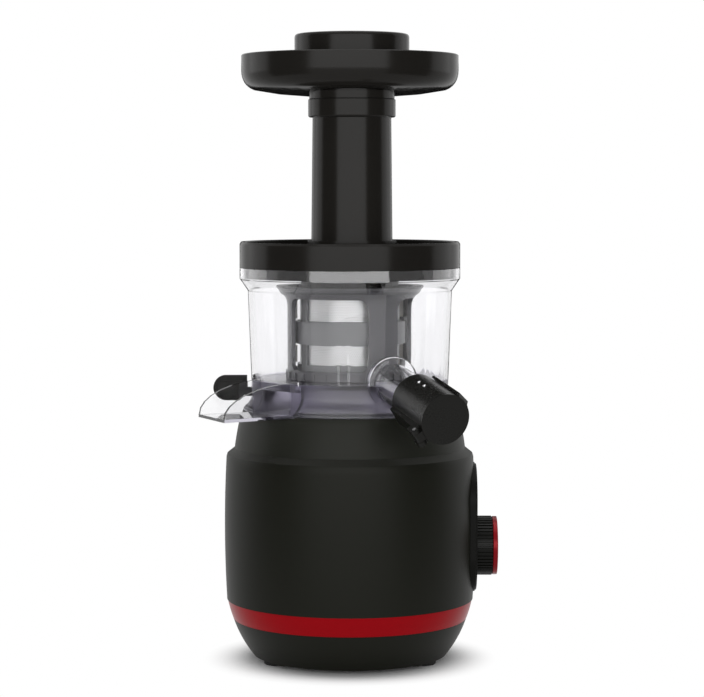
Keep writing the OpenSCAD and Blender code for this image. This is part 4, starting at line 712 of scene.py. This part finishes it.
@dataclass
class MotorBase:
    """The shells, feet and fasteners of the motor base."""

    shell_edge: float = 0.6 * MM
    thin_edge: float = 0.35 * MM
    screw_r: float = 2.0 * MM
    screw_len: float = 30.0 * MM
    screws: int = 4
    cover_ring_r: float = 62.0 * MM
    seat_ring_r: float = 70.0 * MM
    cover_screw_z: float = 9.0 * MM
    seat_screw_z: float = 128.4 * MM

    def build(self) -> None:
        """Builds the visible shells and dresses what lies inside them."""
        for node, name, look, slot, edge in (
            ("motor_housing", "housing_shell", HOUSING, "housing", self.shell_edge),
            ("bottom_cover", "bottom_cover_shell", HOUSING, "housing", self.shell_edge),
            ("bowl_seat", "bowl_seat_shell", SEAT, "seat", self.shell_edge),
            ("trim_ring", "trim_band", RED_TRIM, "red_trim", self.thin_edge),
            ("control_panel", "panel_plate", PANEL, "panel", self.thin_edge),
            ("rubber_feet", "feet", RUBBER, "rubber", self.thin_edge),
            ("cord_bush", "cord_bushing", RUBBER, "rubber", self.thin_edge),
        ):
            Shell(node, name, "base", look, slot, edge).build()
        self._screws()
        dress({
            "rotary_switch": GREY_PLASTIC, "control_board": BOARD,
            "motor_can": SCREW_STEEL, "motor_magnets": MAGNET, "motor_end_bell": DIE_CAST,
            "carbon_brushes": CARBON, "motor_bearings": BEARING, "motor_screws": SCREW_STEEL,
            "gearbox_case": DIE_CAST, "gearbox_cover": DIE_CAST, "gearbox_screws": SCREW_STEEL,
            "output_bearings": BEARING, "shaft_seal": RUBBER,
        })

    def _screws(self) -> None:
        """Makes one cross-head screw and repeats it in the cover's and the seat's rings."""
        tree = build_ring_tree(SCREW_STEEL)
        r, head_r, head_h = self.screw_r, 1.7 * self.screw_r, 1.2 * self.screw_r
        profile = [(0, -head_h), (0.62 * head_r, -head_h), (0.9 * head_r, -0.78 * head_h),
                   (head_r, -0.45 * head_h), (head_r, 0), (r, 0), (r, self.screw_len - r),
                   (0, self.screw_len)]
        arm, width, deep = 0.62 * head_r, 0.2 * head_r, 0.55 * head_h
        cross = [(arm, width), (width, width), (width, arm), (-width, arm), (-width, width),
                 (-arm, width), (-arm, -width), (-width, -width), (-width, -arm),
                 (width, -arm), (width, -width), (arm, -width)]
        outline = [Vector((x, y, -head_h - deep)) for x, y in cross]
        for name, ring, foot in (("cover_screws", self.cover_ring_r, self.cover_screw_z),
                                 ("seat_screws", self.seat_ring_r, self.seat_screw_z)):
            piece = carved(lathe(name, profile, 32),
                           [prism("recess", outline, Vector((0, 0, 2 * deep)))])
            rounded(piece, 0.03 * self.screw_r, CREASE, 1)
            tree.apply(piece, {"Count": self.screws, "Radius": ring, "Start": math.pi / self.screws})
            piece.data.transform(Matrix.Translation((0, 0, foot)))
            Bench.finish(piece, "base", SCREW_STEEL, "screw_steel", "case_screws")


@dataclass
class DriveTrain:
    """The rotor, the gears and the output shaft."""

    looks: dict[str, Finish] = field(default_factory=lambda: {
        "motor_shaft": STEEL, "rotor_core": IRON, "rotor_windings": COPPER,
        "commutator": COPPER, "cooling_fan": BLACK_PART, "motor_pinion": STEEL,
        "first_gear": GEAR_PLASTIC, "first_axle": STEEL, "second_gear": GEAR_PLASTIC,
        "second_axle": STEEL, "output_gear": STEEL, "output_shaft": STEEL,
    })

    def build(self) -> None:
        """Dresses every piece of the train."""
        dress(self.looks)


@dataclass
class ControlKnob:
    """The ribbed knob, its coloured cap and the shaft behind it."""

    height: float = 79.1 * MM
    base: float = 86.9 * MM
    end: float = 99.3 * MM
    core_r: float = 19.9 * MM
    core_wall: float = 2.3 * MM
    face_t: float = 3.0 * MM
    hub_r: float = 6.0 * MM
    hub_start: float = 2.9 * MM
    bore_r: float = 3.02 * MM
    seat_r: float = 8.1 * MM
    seat_depth: float = 1.5 * MM
    rib_h: float = 0.75 * MM
    rib_w: float = 1.5 * MM
    rib_sink: float = 0.3 * MM
    rib_gap: float = 0.2 * MM
    rib_slope: float = 0.5 * MM
    ribs: int = 48
    core_edge: float = 0.25 * MM
    cap_edge: float = 0.4 * MM

    def build(self) -> None:
        """Builds the skirt, its ribs and the cap, and dresses the shaft."""
        lay = Matrix.Translation((0, 0, self.height)) @ Z_TO_X
        for piece, nodes in ((self._core(), ("switch_knob",)), (self._ribs(), ())):
            piece.data.transform(lay)
            Bench.finish(piece, "knob", KNOB_PLASTIC, "black_plastic", *nodes)
        Shell("knob_cap", "knob_face", "knob", KNOB_RED, "red_trim", self.cap_edge).build()
        dress({"switch_shaft": STEEL})

    def _core(self) -> Thing:
        """Turns the skirt with its hub, bore and the seat of the cap."""
        inner, floor = self.core_r - self.core_wall, self.end - self.face_t
        hub, seat = self.base + self.hub_start, self.end - self.seat_depth
        profile = [(0, floor), (self.bore_r, floor), (self.bore_r, hub), (self.hub_r, hub),
                   (self.hub_r, floor), (inner, floor), (inner, self.base),
                   (self.core_r, self.base), (self.core_r, self.end), (self.seat_r, self.end),
                   (self.seat_r, seat), (0, seat)]
        return rounded(lathe("knob_skirt", profile, 96), self.core_edge, CREASE)

    def _ribs(self) -> Thing:
        """Repeats one grip rib round the skirt."""
        half, tip = self.rib_w / 2, self.rib_w * 0.28
        low, high = self.base + self.rib_gap, self.end - self.rib_gap
        points = []
        full = self.rib_h
        for z, top in ((low, 0.2 * full), (low + self.rib_slope, full),
                       (high - self.rib_slope, full), (high, 0.2 * full)):
            points += [Vector((x, y, z)) for x, y in (
                (-self.rib_sink, -half), (top, -tip), (top, tip), (-self.rib_sink, half))]
        faces = [(0, 1, 2, 3), (12, 13, 14, 15), *belt(4, 0, 4), *belt(4, 4, 8), *belt(4, 8, 12)]
        piece = solid("knob_ribs", points, faces)
        return build_ring_tree(KNOB_PLASTIC).apply(piece, {"Count": self.ribs, "Radius": self.core_r})


@dataclass
class JuicingBowl:
    """The clear bowl with its chute, plug and lever."""

    rim_edge: float = 0.5 * MM
    sharp: float = math.radians(12)

    def build(self) -> None:
        """Builds the bowl and the pieces fixed to it."""
        Shell("juicing_bowl", "bowl_moulding", "bowl", CLEAR, "clear_plastic", self.rim_edge,
              self.sharp).build()
        Shell("pulp_lever", "lever_paddle", "lever", BLACK_PART, "black_plastic", self.rim_edge).build()
        dress({"bowl_gasket": SILICONE, "pulp_plug": PLUG, "lever_clip": SCREW_STEEL})


@dataclass
class JuiceSpout:
    """The sleeve on the spout's end, and its hinged cap."""

    edge: float = 0.5 * MM
    turn: float = math.radians(-65.5)
    slope: float = math.radians(12.7)
    root: tuple[float, float, float] = (68.2 * MM, 0.0, 198.5 * MM)
    sleeve_r: float = 17.0 * MM
    stud_turn: float = math.radians(201)
    stud_r: float = 1.1 * MM
    stud_places: tuple[float, float] = (51.5 * MM, 59.5 * MM)

    def build(self) -> None:
        """Builds the sleeve and the cap and dresses their pin and seal."""
        Shell("spout_sleeve", "sleeve", "bowl", BLACK_PART, "black_plastic", self.edge).build()
        Shell("juice_cap", "cap_with_latch", "cap", BLACK_PART, "black_plastic", self.edge).build()
        self._studs()
        dress({"cap_hinge_pin": STEEL, "cap_seal": SILICONE})

    def _studs(self) -> None:
        """Makes the two small domed studs on top of the sleeve."""
        lay = (Matrix.Rotation(self.turn, 4, "Z") @ Matrix.Translation(self.root)
               @ Matrix.Rotation(math.pi / 2 + self.slope, 4, "Y")
               @ Matrix.Rotation(self.stud_turn, 4, "Z"))
        r = self.stud_r
        dome = [(0, -0.4 * r), (r, -0.4 * r), (r, 0.25 * r), (0.86 * r, 0.62 * r),
                (0.5 * r, 0.9 * r), (0, r)]
        for number, reach in enumerate(self.stud_places, start=1):
            piece = lathe(f"sleeve_stud_{number}", dome, 24)
            place = Matrix.Translation((self.sleeve_r, 0, reach))
            piece.data.transform(lay @ place @ Z_TO_X)
            Bench.finish(piece, "bowl", BEARING, "steel")


@dataclass
class Strainer:
    """The strainer with its perforated screen, and the auger in it."""

    edge: float = 0.35 * MM
    radius: float = 34.1 * MM
    thickness: float = 0.45 * MM
    columns: int = 164
    hole: float = 0.62
    low: float = 206.2 * MM
    high: float = 254.3 * MM
    fields: tuple[tuple[float, float], ...] = ((206.8 * MM, 221.4 * MM), (236.7 * MM, 254.2 * MM))
    overlap: float = 0.3
    least_band: float = 0.2 * MM
    band_edge: float = 0.05 * MM

    def build(self) -> None:
        """Builds the frame and the screen and dresses the gears."""
        Shell("strainer_frame", "strainer_cage", "bowl", STRAINER_PLASTIC, "smoky_plastic",
              self.edge).build()
        self._screen()
        dress({"idler_gear": GEAR_PLASTIC, "idler_axle": STEEL})
        Shell("auger_screw", "auger_flights", "auger", AUGER_PLASTIC, "auger_plastic", 0.0).build()
        dress({"auger_gear": GEAR_PLASTIC, "auger_stem": STEEL})

    def _cell(self, name: str) -> Thing:
        """Makes one cell of the screen: a hexagon one wide with a hexagonal hole."""
        points = []
        for size, depth in ((1.0, -self.thickness), (self.hole, -self.thickness),
                            (self.hole, 0.0), (1.0, 0.0)):
            reach = size / math.sqrt(3)
            for corner in range(6):
                angle = math.pi / 6 + corner * math.pi / 3
                points.append(Vector((reach * math.cos(angle), depth, reach * math.sin(angle))))
        faces = belt(6, 0, 6) + belt(6, 6, 12) + belt(6, 12, 18)
        return Bench.sheet(name, points, faces, "cell")

    @staticmethod
    def _close(mesh: bpy.types.Mesh) -> None:
        """Joins the sheet's outer face to its inner face along its two free edges."""
        made = bmesh.new()
        made.from_mesh(mesh)
        rims = [edge for edge in made.edges if edge.is_boundary]
        middle = sum(vert.co.z for vert in made.verts) / len(made.verts)
        for above in (False, True):
            side = [edge for edge in rims if (edge.verts[0].co.z > middle) == above]
            bmesh.ops.bridge_loops(made, edges=side)
        bmesh.ops.recalc_face_normals(made, faces=made.faces)
        made.to_mesh(mesh)
        made.free()

    def _screen(self) -> None:
        """Rolls the perforated fields and turns the plain bands that join them."""
        tree = build_screen_tree(SCREEN)
        rise = 2 * math.pi * self.radius / self.columns * math.sqrt(3) / 2
        edges = [self.low]
        for name, (low, high) in zip(("lower_screen", "upper_screen"), self.fields):
            rows = int((high - low) / rise)
            piece = self._cell(name)
            tree.apply(piece, {"Columns": self.columns, "Rows": rows, "Radius": self.radius,
                               "Low": low})
            self._close(piece.data)
            Bench.finish(piece, "bowl", SCREEN, "mesh_steel", "strainer_mesh")
            edges += [low + self.overlap * rise, low + (rows - self.overlap) * rise]
        edges.append(self.high)
        inner, outer = self.radius, self.radius + self.thickness
        for number, (low, high) in enumerate(zip(edges[::2], edges[1::2])):
            if high - low > self.least_band:
                band = lathe(f"screen_band_{number}",
                             [(inner, low), (outer, low), (outer, high), (inner, high)], 96)
                rounded(band, self.band_edge, CREASE, 1)
                Bench.finish(band, "bowl", SCREEN, "mesh_steel")


@dataclass
class TurningBrush:
    """The frame that turns round the strainer: a toothed ring, four legs and a flange."""

    inner_r: float = 40.6 * MM
    leg_r: float = 43.4 * MM
    low: float = 202.6 * MM
    window_low: float = 203.4 * MM
    window_high: float = 252.8 * MM
    high: float = 261.3 * MM
    flange_t: float = 4.0 * MM
    upper_corner: float = 8.0 * MM
    lower_corner: float = 5.0 * MM
    corner_steps: int = 6
    side_steps: int = 16
    cut_in: float = 4.0 * MM
    cut_out: float = 12.0 * MM
    legs: tuple[float, ...] = (-57.0, 24.0, 105.0, 188.0)
    leg_span: float = 31.0
    edge: float = 0.5 * MM
    ring_edge: float = 0.25 * MM
    flare: tuple[tuple[float, float], ...] = (
        (0.0, 16.0), (0.2, 12.6), (0.8, 9.6), (2.0, 7.6), (3.8, 6.0), (5.3, 4.4),
        (6.3, 2.4), (7.4, 1.5), (7.8, 0.9), (7.8, 0.0),
    )

    def build(self) -> None:
        """Builds the ring and the cage and dresses the wipers."""
        Shell("brush_frame", "brush_ring", "brush", SMOKY, "smoky_plastic", self.ring_edge,
              cut_above=self.low).build()
        piece = lathe("brush_cage", self._profile(), 128)
        carved(piece, [self._window(number) for number in range(len(self.legs))])
        rounded(piece, self.edge, math.radians(35), 3)
        Bench.finish(piece, "brush", SMOKY, "smoky_plastic", "brush_frame")
        dress({"brush_wipers": SILICONE})

    def _profile(self) -> list[tuple[float, float]]:
        """Returns the cage's outline, with its flange flared in a hollow curve."""
        top, r, under = self.high, self.leg_r, self.high - self.flange_t
        outer = [(r + out * MM, top - drop * MM) for out, drop in self.flare]
        return ([(self.inner_r, self.low), (r, self.low)] + outer
                + [(r, top), (r, under), (self.inner_r, under)])

    def _window(self, number: int) -> Thing:
        """Makes the cutter of the window after a leg, with rounded corners."""
        after = self.legs[(number + 1) % len(self.legs)] + (360 if number + 1 == len(self.legs) else 0)
        start = math.radians(self.legs[number] + self.leg_span / 2)
        end = math.radians(after - self.leg_span / 2)
        quarter = math.pi / 2
        corners = [(start, self.window_low, self.lower_corner, 2 * quarter),
                   (end, self.window_low, self.lower_corner, 3 * quarter),
                   (end, self.window_high, self.upper_corner, 0.0),
                   (start, self.window_high, self.upper_corner, quarter)]
        outline = []
        for azimuth, height, r, first in corners:
            inward = 1 if azimuth == start else -1
            upward = 1 if height == self.window_low else -1
            for step in range(self.corner_steps + 1):
                angle = first + quarter * step / self.corner_steps
                along = azimuth * self.leg_r + r * (inward + math.cos(angle))
                outline.append((along / self.leg_r, height + r * (upward + math.sin(angle))))
        outline = self._filled(outline)
        near, far = self.inner_r - self.cut_in, self.leg_r + self.cut_out
        points = [Vector((reach * math.cos(a), reach * math.sin(a), z))
                  for reach in (near, far) for a, z in outline]
        count = len(outline)
        faces = belt(count, 0, count)
        for layer in (0, count):
            faces += [(layer + i, layer + i + 1, layer + count - 2 - i, layer + count - 1 - i)
                      for i in range(count // 2 - 1)]
        return solid(f"window_{number}", points, faces)

    def _filled(self, corners: list[tuple[float, float]]) -> list[tuple[float, float]]:
        """Adds points along the low and high sides, so that they follow the wall's curve.

        Args:
            corners: Angle and height pairs, the low side's two corners first.

        Returns:
            The outline, with as many points on its low side as on its high side, in the
            order low side from start to end, then high side from end to start.
        """
        half = len(corners) // 2
        sides = []
        for side in (corners[:half], corners[half:]):
            first, last = side[:half // 2], side[half // 2:]
            (start, height), end = first[-1], last[0][0]
            extra = [(start + (end - start) * k / self.side_steps, height)
                     for k in range(1, self.side_steps)]
            sides += first + extra + last
        return sides


@dataclass
class LidAndHopper:
    """The lid, the feed tube, the hopper tray and the pusher."""

    edge: float = 0.6 * MM
    tray_foot: float = 388.8 * MM
    tray_drop: float = 0.5 * MM
    floor_low: float = 0.3 * MM
    floor_high: float = 20.0 * MM
    rim_low: float = 25.0 * MM
    cone_r: float = 50.6 * MM
    cone_rise: float = 3.5 * MM
    turn_r: float = 66.5 * MM
    turn_rise: float = 2.1 * MM
    wall_r: float = 75.0 * MM
    head_drop: float = 2.9 * MM
    head_depth: float = 4.0 * MM

    def build(self) -> None:
        """Builds the pieces above the bowl."""
        for node, name, body, rise in (
            ("lid", "lid_moulding", "lid", None),
            ("feed_tube", "tube_moulding", "lid", None),
            ("hopper_tray", "tray_dish", "tray", self._tray_rise),
            ("pusher_head", "pusher_cap", "pusher", self._head_rise("pusher_head")),
            ("pusher_rod", "pusher_stem", "pusher", self._head_rise("pusher_rod")),
        ):
            Shell(node, name, body, TOP_PLASTIC, "lid_plastic", self.edge, rise=rise).build()
        dress({"lid_gasket": SILICONE})

    def _head_rise(self, node: str) -> Callable[[Vector], float]:
        """Returns the rise that lowers the top of a node of the pusher."""
        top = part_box(node)[1][2] - self.head_depth
        return lambda place: -self.head_drop if place.z > top else 0.0

    def _tray_rise(self, place: Vector) -> float:
        """Turns the tray's flat floor into a shallow cone and lowers its rim.

        Args:
            place: A vertex of the tray.

        Returns:
            How far the vertex goes up.
        """
        height, reach = place.z - self.tray_foot, math.hypot(place.x, place.y)
        if height > self.rim_low:
            return -self.tray_drop
        if not self.floor_low < height < self.floor_high:
            return 0.0
        if reach < self.cone_r:
            return self.cone_rise * reach / self.cone_r
        if reach < self.turn_r:
            share = (reach - self.cone_r) / (self.turn_r - self.cone_r)
            return self.cone_rise + share * (self.turn_rise - self.cone_rise)
        return self.turn_rise * max(0.0, self.wall_r - reach) / (self.wall_r - self.turn_r)


# ------------------------------ studio


def matte(piece: Thing, name: str, grey: float, roughness: float, specular: float) -> NodeKit:
    """Gives a piece of the stage a plain grey material.

    Args:
        piece: The piece.
        name: The material's name.
        grey: How light it is, linear.
        roughness: Its roughness.
        specular: Its specular level.

    Returns:
        A kit on the material's tree.
    """
    look = bpy.data.materials.new(name)
    look.use_nodes = True
    piece.data.materials.append(look)
    kit = NodeKit(look.node_tree)
    kit.feed(kit.tree.nodes["Principled BSDF"], {
        "Base Color": (grey, grey, grey, 1), "Roughness": roughness,
        "Specular IOR Level": specular})
    return kit


@dataclass(frozen=True)
class SoftBox:
    """A rectangular lamp that points at a target."""

    name: str
    place: tuple[float, float, float]
    target: tuple[float, float, float]
    size: tuple[float, float]
    radiance: float

    def build(self) -> None:
        """Adds the lamp to the scene."""
        lamp = bpy.data.lights.new(self.name, "AREA")
        lamp.shape = "RECTANGLE"
        lamp.size, lamp.size_y = self.size
        lamp.energy = self.radiance * math.pi * self.size[0] * self.size[1]
        made = bpy.data.objects.new(self.name, lamp)
        bpy.context.scene.collection.objects.link(made)
        made.location = self.place
        aim = Vector(self.target) - Vector(self.place)
        made.rotation_mode = "QUATERNION"
        made.rotation_quaternion = aim.to_track_quat("-Z", "Y")
        made.visible_camera = False


@dataclass(frozen=True)
class DarkScreen:
    """An upright black screen on an arc round the object, which only glossy surfaces see.

    The arc's angles are in degrees from the front, growing towards -X.
    """

    name: str
    start: float
    end: float
    radius: float = 0.8
    foot: float = 0.001
    height: float = 0.9
    steps: int = 24

    def build(self) -> None:
        """Adds the screen to the stage."""
        points = []
        for step in range(self.steps + 1):
            angle = math.radians(self.start + (self.end - self.start) * step / self.steps)
            x, y = -self.radius * math.sin(angle), -self.radius * math.cos(angle)
            points += [(x, y, self.foot), (x, y, self.height)]
        faces = [(low, low + 2, low + 3, low + 1) for low in range(0, 2 * self.steps, 2)]
        made = Bench.sheet(self.name, points, faces)
        matte(made, f"{self.name}_black", 0.002, 1.0, 0.0)
        for rays in ("camera", "diffuse", "transmission", "shadow"):
            setattr(made, f"visible_{rays}", False)


@dataclass
class Studio:
    """A plain pale floor, soft lamps and the camera."""

    floor_size: float = 40.0
    floor_grey: float = 0.92
    world_light: float = 0.22
    shadow_near: float = 0.064
    shadow_far: float = 0.104
    sensor: float = 36.0
    focal_pixels: float = 2430.0
    frame_pixels: float = 704.0
    clip_start: float = 0.05
    eye: tuple[float, float, float] = (0.001458, -1.687, 0.3326)
    pitch: float = math.radians(3.92)
    lamps: tuple[SoftBox, ...] = (
        SoftBox("front_box", (0.0, -3.0, 0.80), (0.0, 0.0, 0.80), (5.4, 1.5), 3.2),
        SoftBox("left_box", (-2.3, 0.8, 0.85), (0.0, 0.8, 0.85), (2.3, 1.4), 0.9),
        SoftBox("right_box", (2.3, 0.8, 0.85), (0.0, 0.8, 0.85), (2.3, 1.4), 0.6),
        SoftBox("top_box", (0.0, -0.1, 2.4), (0.0, 0.0, 0.0), (2.0, 2.0), 2.2),
    )
    screens: tuple[DarkScreen, ...] = (
        DarkScreen("left_screen", 43.0, 92.0),
        DarkScreen("right_screen", 268.0, 321.0),
        DarkScreen("back_screen", 160.0, 200.0, height=0.45),
    )

    def build(self) -> None:
        """Builds the camera, the floor, the world and the lamps."""
        self._camera()
        self._floor()
        self._world()
        for helper in (*self.lamps, *self.screens):
            helper.build()
        bpy.context.scene.view_settings.view_transform = "Standard"

    def _camera(self) -> None:
        """Adds the camera at eye height, pitched slightly down."""
        lens = bpy.data.cameras.new("camera")
        lens.sensor_width = self.sensor
        lens.lens = self.focal_pixels / self.frame_pixels * self.sensor
        lens.clip_start = self.clip_start
        made = bpy.data.objects.new("camera", lens)
        bpy.context.scene.collection.objects.link(made)
        made.location = self.eye
        made.rotation_euler = (math.pi / 2 - self.pitch, 0, 0)
        bpy.context.scene.camera = made

    def _floor(self) -> None:
        """Adds the floor, white to the eye apart from the shadow on it."""
        half = self.floor_size / 2
        corners = [(-half, -half, 0), (half, -half, 0), (half, half, 0), (-half, half, 0)]
        made = Bench.sheet("floor", corners, [(0, 1, 2, 3)])
        kit = matte(made, "pale_floor", self.floor_grey, 0.9, 0.1)
        nodes = kit.tree.nodes
        place = kit.node("ShaderNodeTexCoord").outputs["Object"]
        reach = kit.node("ShaderNodeVectorMath", {0: place}, operation="LENGTH").outputs["Value"]
        fade = kit.node("ShaderNodeMapRange", {
            "Value": reach, "From Min": self.shadow_near, "From Max": self.shadow_far,
        }, interpolation_type="SMOOTHSTEP").outputs["Result"]
        white = kit.node("ShaderNodeEmission").outputs[0]
        mix = kit.node("ShaderNodeMixShader", {
            "Fac": kit.maths("MULTIPLY", fade, self._seen(kit)),
            1: nodes["Principled BSDF"].outputs[0], 2: white})
        kit.feed(nodes["Material Output"], {"Surface": mix.outputs[0]})

    @staticmethod
    def _seen(kit: NodeKit) -> Socket:
        """Adds nodes that are 1 on rays of the eye, also by way of gloss or glass."""
        path = kit.node("ShaderNodeLightPath").outputs
        value = path["Is Camera Ray"]
        for name in ("Is Glossy Ray", "Is Transmission Ray"):
            value = kit.maths("MAXIMUM", value, path[name])
        return value

    def _world(self) -> None:
        """Sets a world that is white where it is seen and softer as a light."""
        world = bpy.data.worlds.new("studio")
        bpy.context.scene.world = world
        world.use_nodes = True
        kit = NodeKit(world.node_tree)
        kit.tree.nodes.clear()
        white = {"Color": (1, 1, 1, 1)}
        soft = kit.node("ShaderNodeBackground", {"Strength": self.world_light, **white})
        full = kit.node("ShaderNodeBackground", white)
        mix = kit.node("ShaderNodeMixShader", {
            "Fac": self._seen(kit), 1: soft.outputs[0], 2: full.outputs[0]})
        kit.node("ShaderNodeOutputWorld", {"Surface": mix.outputs[0]})


def main() -> None:
    """Builds the studio and every sub-assembly."""
    logging.basicConfig(level=logging.INFO, format="%(name)s: %(message)s")
    Studio().build()
    for assembly in (MotorBase(), DriveTrain(), ControlKnob(), JuicingBowl(), JuiceSpout(),
                     Strainer(), TurningBrush(), LidAndHopper()):
        LOG.info("assembly %s", type(assembly).__name__)
        assembly.build()


if __name__ == "__main__":
    main()
